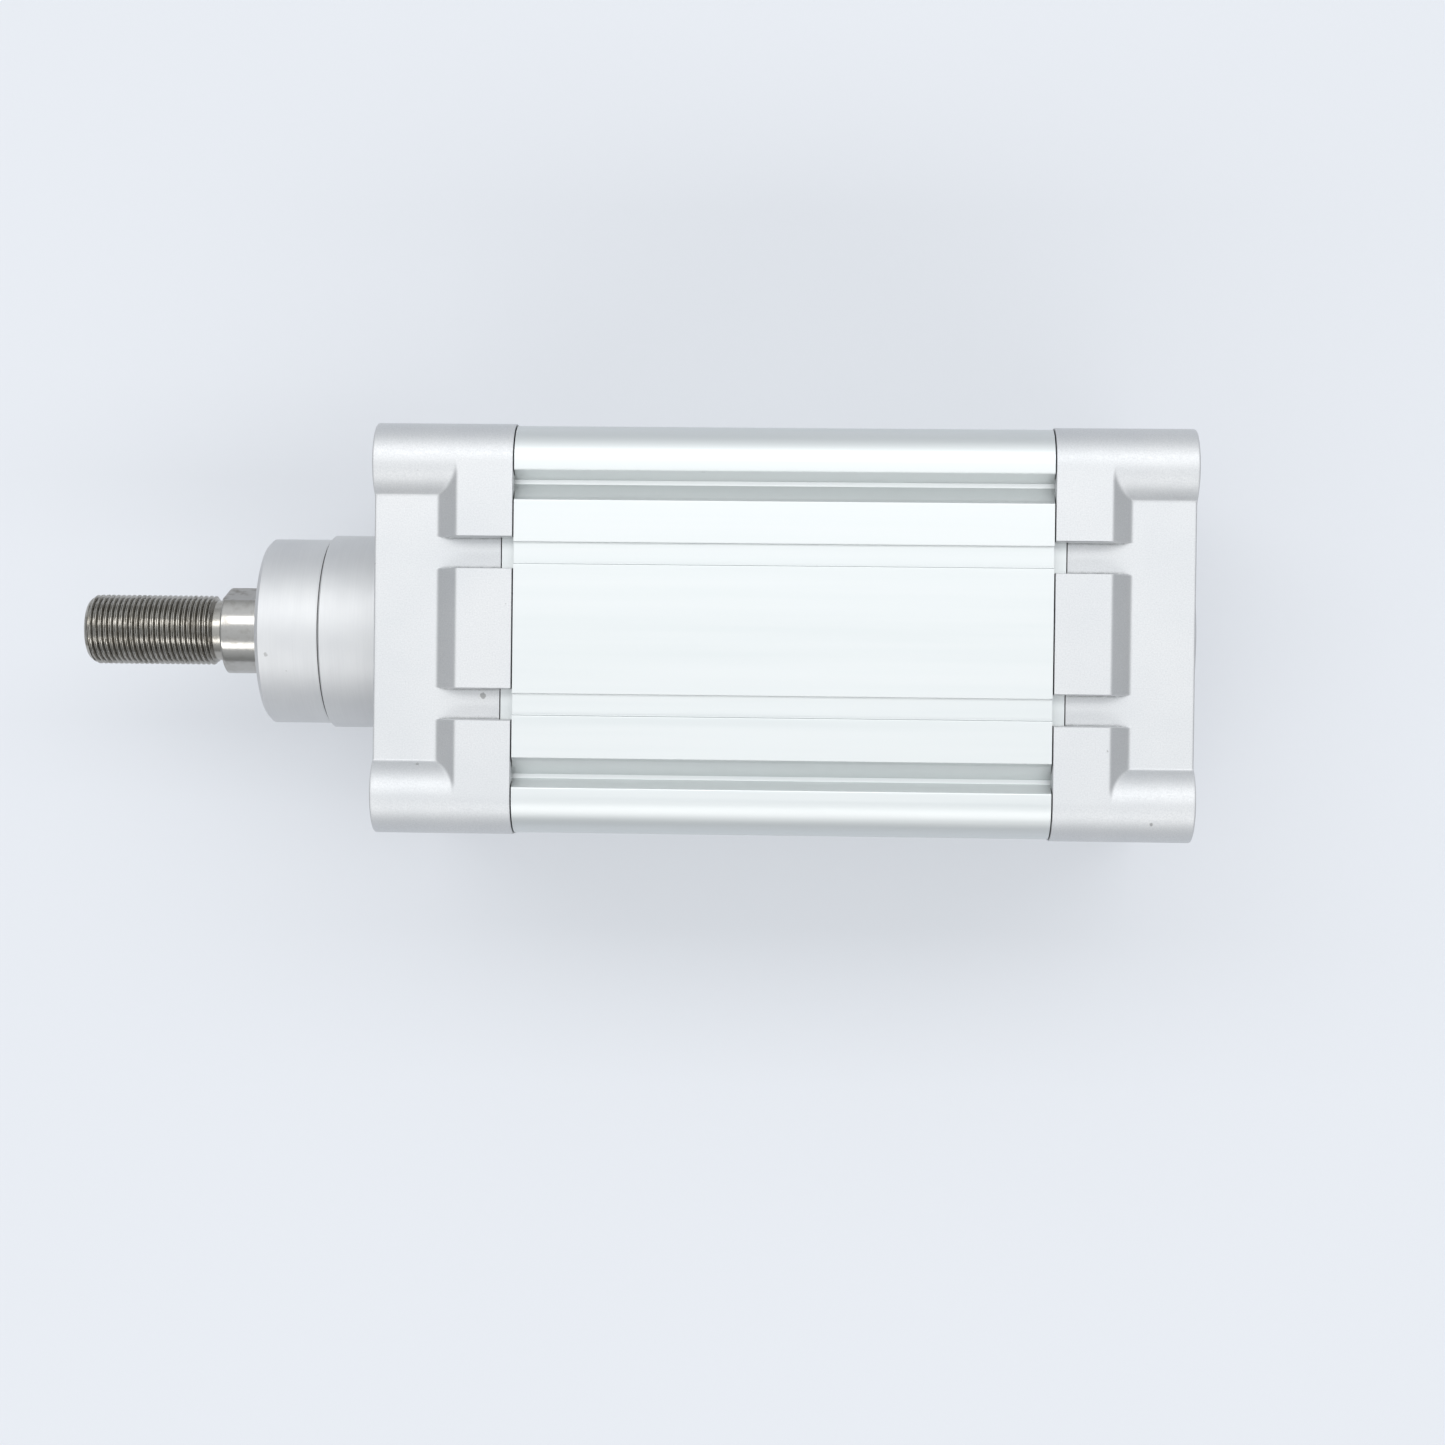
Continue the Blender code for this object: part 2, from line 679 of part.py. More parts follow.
def thread_bar(name, start, turns, pitch, major, minor):
    """A closed bar with a right-hand thread about +X; its ends are uneven and meant to be trimmed."""
    steps = THREAD_TURN
    profile = ((0.0, minor), (0.4375 * pitch, major), (0.5625 * pitch, major))
    bm = bmesh.new()
    rows = []
    for k in range(turns * steps + 1):
        angle = math.tau * k / steps
        advance = start + pitch * k / steps
        rows.append(
            [bm.verts.new((advance + dx, -r * math.sin(angle), r * math.cos(angle))) for dx, r in profile]
        )
    last = len(profile) - 1
    for k in range(len(rows) - 1):
        for j in range(last):
            bm.faces.new((rows[k][j], rows[k][j + 1], rows[k + 1][j + 1], rows[k + 1][j]))
        if k + steps + 1 < len(rows):
            bm.faces.new((rows[k][last], rows[k + steps][0], rows[k + steps + 1][0], rows[k + 1][last]))
    near_rim = [rows[k][0] for k in range(steps + 1)] + [rows[0][j] for j in range(last, 0, -1)]
    far_rim = [rows[k][last] for k in range(len(rows) - 1 - steps, len(rows))]
    far_rim += [rows[-1][j] for j in range(last - 1, -1, -1)]
    far_x = start + pitch * turns
    for rim, x in ((near_rim, start), (far_rim, far_x)):
        centre = bm.verts.new((x, 0.0, 0.0))
        for a, b in zip(rim, rim[1:] + rim[:1]):
            bm.faces.new((centre, a, b))
    return new_object(name, bm)


def piston_rod(parent):
    """The rod at rest, drawn back: thread, shoulder, spanner flats, and the tail that holds the piston."""
    radius = ROD_DIAMETER / 2
    tip, shoulder = -TIP_AHEAD, -ROD_SHOULDER_AHEAD
    relief_start = shoulder - 3.0
    major = ROD_THREAD_MAJOR / 2
    minor = major - 0.61 * ROD_THREAD_PITCH
    neck = minor - 0.45
    turns = math.ceil((relief_start - tip) / ROD_THREAD_PITCH) + 3
    thread = thread_bar("thread", tip - ROD_THREAD_PITCH, turns, ROD_THREAD_PITCH, major, minor)
    blank = [
        (tip, 0.0),
        (tip, 8.5),
        (tip + 2.6, 10.4),
        (relief_start - 1.2, 10.4),
        (relief_start, neck + 0.15),
        (relief_start, 0.0),
    ]
    envelope = turned("envelope", blank, 26)
    envelope.rotation_euler.x = math.radians(4)
    combine(thread, "INTERSECT", [envelope])
    tail_x = PISTON_FRONT_X + ROD_STEP
    end_x = PISTON_FRONT_X + PISTON_LENGTH + GAP + 17.4
    outline = [
        (relief_start - 2.0, 0.0),
        (relief_start - 2.0, neck),
        (shoulder, neck),
        (shoulder, radius - 0.4),
        (shoulder + 0.4, radius),
        (tail_x, radius),
        (tail_x, ROD_TAIL_RADIUS),
        (end_x - 1.0, ROD_TAIL_RADIUS),
        (end_x, ROD_TAIL_RADIUS - 1.0),
        (end_x, 0.0),
    ]
    rod = turned("piston_rod", outline, RING_TURN)
    join(rod, thread)
    flats_angle = math.radians(19)
    across = ROD_FLATS_ACROSS / 2
    for side in (1, -1):
        near, far = side * across, side * (across + 4)
        block = [(near, -9.0), (far, -9.0), (far, 9.0), (near, 9.0)]
        tool = prism("flat", block, shoulder - 1.0, -COLLAR_LENGTH - 0.5)
        tool.rotation_euler.x = flats_angle
        cut(rod, tool)
    centre_mark = [(tip - 1, 0.0), (tip - 1, 3.2), (tip + 2.6, 1.1), (tip + 4.2, 1.1), (tip + 4.8, 0.0)]
    cut(rod, turned("centre_mark", centre_mark, 16))
    return finished(rod, parent, CHROMED)


def cushion_screw(end_name, to_x, screw_parent, ring_parent):
    """A slotted screw that throttles the cushion, with its O-ring. Both lie along the port side's normal."""
    radius, groove_radius = 4.5, 3.0
    outline = [
        (-1.4, 0.0),
        (-1.4, radius - 0.4),
        (-1.8, radius),
        (-8.8, radius),
        (-8.8, groove_radius),
        (-11.2, groove_radius),
        (-11.2, radius),
        (-15.6, radius),
        (-16.4, 1.2),
        (-17.4, 1.2),
        (-18.4, 0.4),
        (-18.4, 0.0),
    ]
    screw = turned(f"{end_name}_cushion_screw", outline, SMALL_TURN)
    slot = [(-0.6, -radius - 1), (0.6, -radius - 1), (0.6, radius + 1), (-0.6, radius + 1)]
    cut(screw, prism("slot", slot, -3.0, 0.0))
    seal_section = round_section(-10.0, 3.9, 0.62)
    seal = turned(f"{end_name}_cushion_screw_o_ring", seal_section, SMALL_TURN)
    for piece, parent, finish in ((screw, screw_parent, ZINC), (seal, ring_parent, RUBBER)):
        finished(piece, parent, finish)
        towards_port_under(piece, parent, to_x(PORT_DEPTH), CUSHION_SCREW_OFFSET)


def towards_port_under(obj, parent, depth_x, offset_z):
    """As towards_port, for a piece whose parent stands at the axis."""
    towards_port(obj, depth_x, offset_z)
    obj.matrix_basis = obj.matrix_world.copy()
    obj.matrix_parent_inverse = Matrix.Identity(4)
    obj.parent = parent


def axis_empty(name):
    """An empty on the cylinder's axis, at the front cap's face."""
    empty = bpy.data.objects.new(name, None)
    bpy.context.scene.collection.objects.link(empty)
    empty.location = (FRONT_FACE_X * MM, 0, AXIS_HEIGHT * MM)
    return empty


def main():
    clear_scene()
    body = axis_empty("cylinder_body")
    barrel(body)
    front_cap(body)
    rear_cap(body)
    rod_way_parts(body)
    cap_parts("front", front_to_x, body)
    cap_parts("rear", rear_to_x, body)
    piston_rings(axis_empty("piston_rings"))
    rod = axis_empty("rod")
    piston_rod(rod)
    piston_discs(rod)
    cushion_pieces(rod)
    for end_name, to_x in (("front", front_to_x), ("rear", rear_to_x)):
        screw_body = axis_empty(f"{end_name}_cushion_adjuster")
        ring_body = axis_empty(f"{end_name}_cushion_adjuster_seal")
        cushion_screw(end_name, to_x, screw_body, ring_body)


main()
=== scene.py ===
"""The looks of the pneumatic cylinder: fine meshes, node materials, camera and studio light.

Shapes are made in millimetres in a frame of their own, whose origin is on the cylinder's axis at the
front cap's face, and then placed where the CAD says. "Depth" is measured along the axis from a cap's
outer face, positive towards the middle.
"""

import json
import math

import bmesh
import bpy
import numpy as np
from mathutils import Matrix, Vector


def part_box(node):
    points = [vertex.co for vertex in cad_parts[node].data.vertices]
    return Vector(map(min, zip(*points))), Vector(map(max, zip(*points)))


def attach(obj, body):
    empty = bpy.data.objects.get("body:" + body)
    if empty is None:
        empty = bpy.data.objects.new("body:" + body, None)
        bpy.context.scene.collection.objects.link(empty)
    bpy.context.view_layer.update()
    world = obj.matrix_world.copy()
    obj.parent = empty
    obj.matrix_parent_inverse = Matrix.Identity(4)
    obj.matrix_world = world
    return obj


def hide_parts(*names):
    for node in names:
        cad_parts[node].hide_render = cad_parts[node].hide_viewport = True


MM = 0.001

# Sizes that part.py has too, in millimetres.
BORE = 100.0
HALF = 55.0
SCREW_OFFSET = 44.5
CORNER_RADIUS = 10.5
CAP_LENGTH = 37.5
RECESS_LEVEL = 50.0
RECESS_DEPTH = 17.1
PAD_DEPTH = 22.6
CHANNEL_INNER = 16.0
CHANNEL_OUTER = 24.2
SKIRT_HALF = 51.2
SKIRT_START = 33.9
COLLAR_DIAMETER = 55.0
COLLAR_NOSE_DIAMETER = 52.7
COLLAR_LENGTH = 38.0
COLLAR_STEP = 19.8
REAR_PILOT_LENGTH = 4.0
PLUG_RADIUS = 49.6
PLUG_DEPTH = 49.0
O_RING_GROOVE = (42.0, 46.0, 46.6)
CORE_HOLE_RADIUS = 26.0
BUSH_SEAT_RADIUS = 15.3
WIPER_SEAT_RADIUS = 18.3
CUSHION_CHAMBER_RADIUS = 21.0
CUSHION_CHAMBER_DEPTH = 11.0
CUSHION_GROOVE = (40.0, 47.0, 24.3)
PORT_DEPTH = 18.8
PORT_OFFSET = 10.0
PORT_RADIUS = 9.5
CUSHION_SCREW_OFFSET = -14.0
HEAD_RADIUS = 7.8
HEAD_LENGTH = 20.2
HEAD_SUNK = 0.5
SHANK_RADIUS = 5.0
SHANK_END = 60.0
SCREW_HOLE_RADIUS = 5.3
MOUNTING_THREAD_RADIUS = 4.25
MOUNTING_THREAD_DEPTH = 17.0
SOCKET_ACROSS = 6.0
BARREL_START = 34.2
SHOULDER_DEPTH = 37.8
BARREL_HALF = 54.5
STEP_HALF = 50.9
ROD_RADIUS = 12.5
ROD_TAIL_RADIUS = 9.0
ROD_THREAD_MAJOR = 9.95
ROD_THREAD_MINOR = 9.03
ROD_THREAD_PITCH = 1.5
ROD_NECK_RADIUS = 8.6
ROD_SHOULDER_AHEAD = 51.0
ROD_FLATS_ACROSS = 22.0
ROD_FLATS_ANGLE = 19.0

# Which of a cap's faces are machined: those beyond its outer face, and the walls bored in the -Y side.
PROUD_OF_FACE = 0.2
PORT_WALL_OUTER = -54.9
PORT_WALL_INNER = -36.0
PORT_WALL_RADIUS = 56.0

# Points round a large and a small turned piece, and the least angle in degrees of a sharp edge.
SMOOTH_TURN = 128
SMALL_TURN = 48
SHARP_ANGLE = 32.0

# The sides with recesses, counted in quarter turns from the top. The ports are on the other one.
RECESSED_SIDES = (0, 2, 3)


# Where things are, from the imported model.
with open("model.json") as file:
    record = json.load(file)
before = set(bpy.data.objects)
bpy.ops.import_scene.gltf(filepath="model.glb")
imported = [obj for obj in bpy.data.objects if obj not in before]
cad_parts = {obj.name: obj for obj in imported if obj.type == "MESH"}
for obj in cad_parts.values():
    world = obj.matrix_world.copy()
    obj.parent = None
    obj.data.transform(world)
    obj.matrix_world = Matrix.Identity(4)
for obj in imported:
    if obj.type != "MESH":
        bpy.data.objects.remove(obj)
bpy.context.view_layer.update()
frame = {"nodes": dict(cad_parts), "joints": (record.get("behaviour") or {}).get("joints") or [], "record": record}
mounts = {mount["name"]: mount["pos_m"] for mount in frame["record"]["mounts"]}
joints = {joint["name"]: joint for joint in frame["joints"]}
FRONT_FACE_X = mounts["front_face"][0]
AXIS_HEIGHT = joints["rod_turn"]["pos_m"][2]
CAPS_APART = (mounts["rear_face"][0] - FRONT_FACE_X) / MM
ROD_TIP = (mounts["rod_tip"][0] - FRONT_FACE_X) / MM
ROD_END = (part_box("piston_rod")[1].x - FRONT_FACE_X) / MM
PISTON_STEP = (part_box("piston_front_disc")[0].x - FRONT_FACE_X) / MM + 5.0


# ---------------------------------------------------------------- mesh code

def link(name, bm):
    """An object made of the bmesh, in millimetres."""
    bmesh.ops.recalc_face_normals(bm, faces=bm.faces)
    mesh = bpy.data.meshes.new(name)
    bm.to_mesh(mesh)
    bm.free()
    obj = bpy.data.objects.new(name, mesh)
    bpy.context.scene.collection.objects.link(obj)
    return obj


def rounded(points, steps=3):
    """The closed outline with its corners rounded: a point is (a, b), or (a, b, radius)."""
    outline = []
    count = len(points)
    for i, point in enumerate(points):
        corner = Vector(point[:2])
        radius = point[2] if len(point) > 2 else 0.0
        before = Vector(points[i - 1][:2]) - corner
        after = Vector(points[(i + 1) % count][:2]) - corner
        if radius <= 0.0:
            outline.append(tuple(corner))
            continue
        half_angle = before.angle(after) / 2
        back = radius / math.tan(half_angle)
        back = min(back, 0.49 * before.length, 0.49 * after.length)
        radius = back * math.tan(half_angle)
        middle = (before.normalized() + after.normalized()).normalized()
        centre = corner + middle * (radius / math.sin(half_angle))
        start = corner + before.normalized() * back - centre
        end = corner + after.normalized() * back - centre
        turn = start.angle_signed(end)
        for k in range(steps + 1):
            spoke = start.copy()
            spoke.rotate(Matrix.Rotation(-turn * k / steps, 2))
            outline.append(tuple(centre + spoke))
    return outline


def turned(name, profile, segments=SMOOTH_TURN):
    """A solid turned about the X axis from a closed outline of (x, radius) points."""
    bm = bmesh.new()
    columns = []
    for k in range(segments):
        angle = math.tau * k / segments
        column = []
        for i, (x, radius) in enumerate(profile):
            if radius < 1e-6 and k:
                column.append(columns[0][i])
            else:
                column.append(bm.verts.new((x, -radius * math.sin(angle), radius * math.cos(angle))))
        columns.append(column)
    count = len(profile)
    for k in range(segments):
        here, there = columns[k], columns[(k + 1) % segments]
        for i in range(count):
            j = (i + 1) % count
            corners = []
            for vert in (here[i], here[j], there[j], there[i]):
                if vert not in corners:
                    corners.append(vert)
            if len(corners) > 2:
                bm.faces.new(corners)
    return link(name, bm)


def prism(name, outline, start, end):
    """A solid with this (y, z) outline between two planes across X."""
    bm = bmesh.new()
    near = [bm.verts.new((start, y, z)) for y, z in outline]
    far = [bm.verts.new((end, y, z)) for y, z in outline]
    bm.faces.new(near)
    bm.faces.new(list(reversed(far)))
    for i in range(len(outline)):
        j = (i + 1) % len(outline)
        bm.faces.new((near[i], far[i], far[j], near[j]))
    return link(name, bm)


def combine(target, operation, tools):
    for tool in tools:
        modifier = target.modifiers.new(tool.name, "BOOLEAN")
        modifier.operation = operation
        modifier.solver = "EXACT"
        modifier.object = tool
    bpy.context.view_layer.update()
    graph = bpy.context.evaluated_depsgraph_get()
    made = bpy.data.meshes.new_from_object(target.evaluated_get(graph))
    target.modifiers.clear()
    target.data = made
    for tool in tools:
        bpy.data.objects.remove(tool)
    return target


def cut(target, *tools):
    return combine(target, "DIFFERENCE", tools)


def join(target, *tools):
    return combine(target, "UNION", tools)


def place(obj, matrix):
    """Moves the object's points and leaves its origin."""
    obj.data.transform(matrix)
    return obj


def at_corner(obj, y, z):
    return place(obj, Matrix.Translation((0, y, z)))


def towards_port(obj, depth_x, offset_z):
    """Turns a piece made along X so that it points out of the -Y side, from that side's face."""
    turn = Matrix.Rotation(math.radians(-90), 4, "Z")
    return place(obj, Matrix.Translation((depth_x, -HALF, offset_z)) @ turn)


def rotated(point, quarter_turns):
    y, z = point
    for _ in range(quarter_turns % 4):
        y, z = -z, y
    return y, z


def corner_positions():
    return [rotated((SCREW_OFFSET, SCREW_OFFSET), turn) for turn in range(4)]


def arc(centre_y, centre_z, radius, start, end, steps):
    angles = [math.radians(start + (end - start) * i / steps) for i in range(steps + 1)]
    return [(centre_y + radius * math.cos(a), centre_z + radius * math.sin(a)) for a in angles]


def rounded_square(half, radius, steps=12):
    middle = half - radius
    quarter = arc(middle, middle, radius, 0, 90, steps)
    return [rotated(point, turn) for turn in range(4) for point in quarter]


def dress(obj, body, slot, node, *materials):
    """Puts the piece in its place in metres, in place of its CAD node, with its materials."""
    place(obj, Matrix.Translation((FRONT_FACE_X, 0, AXIS_HEIGHT)) @ Matrix.Scale(MM, 4))
    obj.data.materials.clear()
    for made in materials:
        obj.data.materials.append(made)
    obj.data.shade_smooth()
    obj.data.set_sharp_from_angle(angle=math.radians(SHARP_ANGLE))
    flat = obj.modifiers.new("flat_faces_stay_flat", "WEIGHTED_NORMAL")
    flat.keep_sharp = True
    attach(obj, body)
    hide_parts(node)
    return obj


# ---------------------------------------------------------------- node materials

class Material:
    """A node material under construction. Its noise scales are per metre."""

    def __init__(self, name, metallic, roughness):
        self.made = bpy.data.materials.new(name)
        self.made.use_nodes = True
        self.tree = self.made.node_tree
        self.shader = self.tree.nodes["Principled BSDF"]
        self.shader.inputs["Metallic"].default_value = metallic
        self.shader.inputs["Roughness"].default_value = roughness
        self.place = self.node("ShaderNodeTexCoord").outputs["Object"]
        self.bumps = None

    def node(self, kind, inputs=(), **settings):
        made = self.tree.nodes.new(kind)
        for key, value in settings.items():
            setattr(made, key, value)
        for key, value in dict(inputs).items():
            self.feed(made.inputs[key], value)
        return made

    def feed(self, socket, value):
        if isinstance(value, bpy.types.NodeSocket):
            self.tree.links.new(value, socket)
        else:
            socket.default_value = value

    def stretched(self, stretch):
        """The place on the piece, with each axis scaled by its factor."""
        return self.node("ShaderNodeMapping", {"Vector": self.place, "Scale": stretch}).outputs["Vector"]

    def noise(self, scale, detail=2.0, roughness=0.5, stretch=None):
        vector = self.stretched(stretch) if stretch else self.place
        inputs = {"Vector": vector, "Scale": scale, "Detail": detail, "Roughness": roughness}
        return self.node("ShaderNodeTexNoise", inputs).outputs["Fac"]

    def cells(self, scale, stretch):
        """A pattern of cells: the distance from each one's middle, and its random colour split in three."""
        inputs = {"Vector": self.stretched(stretch), "Scale": scale}
        pattern = self.node("ShaderNodeTexVoronoi", inputs, feature="F1")
        split = self.node("ShaderNodeSeparateColor", {"Color": pattern.outputs["Color"]})
        return pattern.outputs["Distance"], split.outputs

    def spread(self, value, low, high, to_low=0.0, to_high=1.0):
        inputs = {"Value": value, "From Min": low, "From Max": high, "To Min": to_low, "To Max": to_high}
        return self.node("ShaderNodeMapRange", inputs, clamp=True).outputs["Result"]

    def math(self, operation, a, b=0.0):
        made = self.node("ShaderNodeMath", {0: a, 1: b}, operation=operation, use_clamp=False)
        return made.outputs["Value"]

    def mix(self, amount, a, b):
        made = self.node("ShaderNodeMix", data_type="RGBA")
        for index, value in ((0, amount), (6, a), (7, b)):
            self.feed(made.inputs[index], value)
        return made.outputs[2]

    def closeness(self, distance, low=0.35, high=0.9):
        """1 in crevices narrower than the distance, 0 in the open: the mask for painted shade."""
        shade = self.node("ShaderNodeAmbientOcclusion", {"Distance": distance}, samples=8)
        return self.spread(shade.outputs["AO"], low, high, 1.0, 0.0)

    def bump(self, height, strength, distance):
        inputs = {"Height": height, "Strength": strength, "Distance": distance}
        if self.bumps is not None:
            inputs["Normal"] = self.bumps
        self.bumps = self.node("ShaderNodeBump", inputs).outputs["Normal"]

    def colour(self, value):
        self.feed(self.shader.inputs["Base Color"], value)

    def rough(self, value):
        self.feed(self.shader.inputs["Roughness"], value)

    def done(self):
        if self.bumps is not None:
            self.feed(self.shader.inputs["Normal"], self.bumps)
        return self.made


def rgb(red, green, blue):
    return (red, green, blue, 1.0)


def specks(material, scale, share, stretch=(1, 1, 1)):
    """Small ragged spots in this share of the cells of a pattern: 1 in a spot, 0 outside."""
    distance, draws = material.cells(scale, stretch)
    chosen = material.math("GREATER_THAN", draws["Red"], 1.0 - share)
    ragged = material.math("MULTIPLY", material.noise(scale * 9.0, 2.0), 0.16)
    size = material.spread(draws["Green"], 0.0, 1.0, 0.03, 0.15)
    edge = material.math("SUBTRACT", material.math("ADD", distance, ragged), size)
    return material.math("MULTIPLY", chosen, material.spread(edge, 0.05, 0.09, 1.0, 0.0))


def smudges(material, scale, share):
    """Short rubbed marks along the axis, broken up into grains: 1 in a grain, 0 outside."""
    distance, draws = material.cells(scale, (0.45, 1.0, 1.0))
    chosen = material.math("GREATER_THAN", draws["Blue"], 1.0 - share)
    near = material.spread(distance, 0.02, 0.16, 1.0, 0.0)
    grains = material.noise(1500.0, 4.0, 0.75, (0.5, 1.0, 1.0))
    kept = material.spread(material.math("ADD", grains, material.math("MULTIPLY", near, 0.22)), 0.66, 0.72)
    return material.math("MULTIPLY", material.math("MULTIPLY", chosen, kept), near)


def cast_aluminium():
    """Blasted die casting: an even fine grain, faint clouds, painted shade in the corners."""
    m = Material("blasted_cast_aluminium", 1.0, 0.5)
    clouds = m.noise(38.0, 3.0)
    grain = m.noise(2600.0, 2.0, 0.7)
    base = m.mix(m.spread(clouds, 0.35, 0.65), rgb(0.645, 0.655, 0.665), rgb(0.68, 0.685, 0.69))
    base = m.mix(m.spread(grain, 0.3, 0.7, 0.0, 0.5), base, rgb(0.56, 0.57, 0.585))
    patchy = m.spread(m.noise(900.0, 3.0), 0.3, 0.6, 0.5, 1.0)
    # Painted shade: the casting turns dark grey, patchily, in corners and crevices narrower than 1.3 mm.
    painted_shade = m.math("MULTIPLY", m.closeness(0.0013, 0.45, 0.8), patchy)
    base = m.mix(painted_shade, base, rgb(0.20, 0.21, 0.21))
    base = m.mix(m.math("MULTIPLY", specks(m, 170.0, 0.12), 0.6), base, rgb(0.22, 0.22, 0.21))
    base = m.mix(m.math("MULTIPLY", smudges(m, 42.0, 0.10), 0.55), base, rgb(0.26, 0.255, 0.24))
    m.colour(base)
    m.rough(m.spread(grain, 0.25, 0.75, 0.52, 0.66))
    m.bump(grain, 0.35, 0.00006)
    m.bump(m.noise(190.0, 3.0), 0.2, 0.00012)
    return m.done()


def machined_aluminium():
    """Turned faces of the caps: fine rings round the axis."""
    m = Material("machined_aluminium", 1.0, 0.4)
    lines = m.noise(60.0, 4.0, 0.75, (60.0, 0.6, 0.6))
    clouds = m.noise(60.0, 2.0)
    base = m.mix(m.spread(clouds, 0.35, 0.65), rgb(0.625, 0.63, 0.64), rgb(0.66, 0.665, 0.67))
    # Painted shade: dark grey in corners and crevices narrower than 1.2 mm.
    painted_shade = m.closeness(0.0012)
    base = m.mix(painted_shade, base, rgb(0.20, 0.20, 0.20))
    base = m.mix(m.math("MULTIPLY", specks(m, 170.0, 0.12), 0.5), base, rgb(0.28, 0.28, 0.27))
    m.colour(base)
    m.rough(m.spread(lines, 0.3, 0.7, 0.56, 0.66))
    m.bump(lines, 0.12, 0.00004)
    return m.done()


def anodised_aluminium():
    """Extruded and clear-anodised: faint lines along the axis and a few dark scuffs."""
    m = Material("clear_anodised_aluminium", 1.0, 0.42)
    lines = m.noise(260.0, 3.0, 0.6, (0.02, 1.0, 1.0))
    base = m.mix(m.spread(lines, 0.35, 0.65), rgb(0.655, 0.68, 0.68), rgb(0.68, 0.70, 0.70))
    # Painted shade, at half strength, in the grooves and crevices narrower than 0.7 mm.
    painted_shade = m.closeness(0.0007, 0.45, 0.75)
    base = m.mix(m.math("MULTIPLY", painted_shade, 0.5), base, rgb(0.20, 0.215, 0.215))
    scuffs = specks(m, 150.0, 0.05, (0.6, 1.0, 1.0))
    base = m.mix(m.math("MULTIPLY", scuffs, 0.7), base, rgb(0.24, 0.26, 0.26))
    base = m.mix(m.math("MULTIPLY", smudges(m, 26.0, 0.05), 0.6), base, rgb(0.22, 0.23, 0.22))
    m.colour(base)
    m.rough(m.spread(lines, 0.3, 0.7, 0.46, 0.54))
    m.bump(lines, 0.10, 0.00005)
    m.bump(m.noise(3200.0, 1.0), 0.15, 0.00002)
    m.shader.inputs["Coat Weight"].default_value = 0.12
    m.shader.inputs["Coat Roughness"].default_value = 0.35
    return m.done()


def bright_steel(name, tint, roughness, wear):
    """Ground or turned steel, with fine rings, small pits and handling marks."""
    m = Material(name, 1.0, roughness)
    lines = m.noise(90.0, 4.0, 0.7, (45.0, 1.0, 1.0))
    stain = m.spread(m.noise(260.0, 4.0, 0.65), 0.50, 0.72)
    dull = rgb(tint[0] * 0.62, tint[1] * 0.60, tint[2] * 0.56)
    base = m.mix(m.math("MULTIPLY", stain, wear), rgb(*tint), dull)
    # Painted shade: nearly black in crevices narrower than 0.9 mm.
    painted_shade = m.closeness(0.0009)
    base = m.mix(m.math("MULTIPLY", painted_shade, 0.85), base, rgb(0.07, 0.065, 0.055))
    m.colour(base)
    uneven = m.math("MULTIPLY", stain, 0.22 * wear)
    m.rough(m.math("ADD", m.spread(lines, 0.3, 0.7, roughness * 0.85, roughness * 1.2), uneven))
    m.bump(lines, 0.10, 0.00004)
    m.bump(m.noise(1500.0, 2.0), 0.12 * wear, 0.00003)
    return m.done()


def plain_solid(name, metallic, roughness, light, dark, scale, bump):
    """Rubber, plastic, sintered or cast pieces: two shades of one colour, and a grain."""
    m = Material(name, metallic, roughness)
    tone = m.noise(scale, 3.0, 0.6)
    m.colour(m.mix(m.spread(tone, 0.35, 0.65), rgb(*dark), rgb(*light)))
    m.rough(m.spread(tone, 0.3, 0.7, roughness * 0.85, min(roughness * 1.15, 1.0)))
    m.bump(tone, bump, 0.00005)
    return m.done()


CAST = cast_aluminium()
MACHINED = machined_aluminium()
ANODISED = anodised_aluminium()
ROD_STEEL = bright_steel("rod_steel", (0.44, 0.43, 0.41), 0.16, 0.5)
THREAD_STEEL = bright_steel("thread_steel", (0.40, 0.385, 0.355), 0.22, 1.0)
FLAT_STEEL = bright_steel("milled_steel", (0.37, 0.36, 0.345), 0.34, 1.0)
ZINC = bright_steel("zinc_plated_steel", (0.47, 0.48, 0.49), 0.30, 0.8)
BRONZE = plain_solid("sintered_bronze", 1.0, 0.45, (0.60, 0.43, 0.25), (0.48, 0.33, 0.18), 1800.0, 0.3)
RUBBER = plain_solid("black_rubber", 0.0, 0.62, (0.035, 0.035, 0.036), (0.02, 0.02, 0.021), 900.0, 0.25)
SEAL = plain_solid("green_polyurethane", 0.0, 0.42, (0.10, 0.27, 0.23), (0.07, 0.21, 0.18), 500.0, 0.15)
ACETAL = plain_solid("white_acetal", 0.0, 0.45, (0.80, 0.80, 0.76), (0.74, 0.74, 0.70), 700.0, 0.1)
FERRITE = plain_solid("ferrite", 0.1, 0.60, (0.14, 0.14, 0.15), (0.09, 0.09, 0.10), 1200.0, 0.3)


# ---------------------------------------------------------------- caps

def soft_max(a, b, blend):
    """The larger of the two, with a fillet about as wide as blend where they cross."""
    near = max(blend - abs(a - b), 0.0) / blend
    return max(a, b) + near * near * blend / 4


def soft_min(a, b, blend):
    return -soft_max(-a, -b, blend)


def wall(distance, width=0.36):
    """From 0 to 1 across a nearly upright wall."""
    t = min(max(distance / width + 0.5, 0.0), 1.0)
    return t * t * (3 - 2 * t)


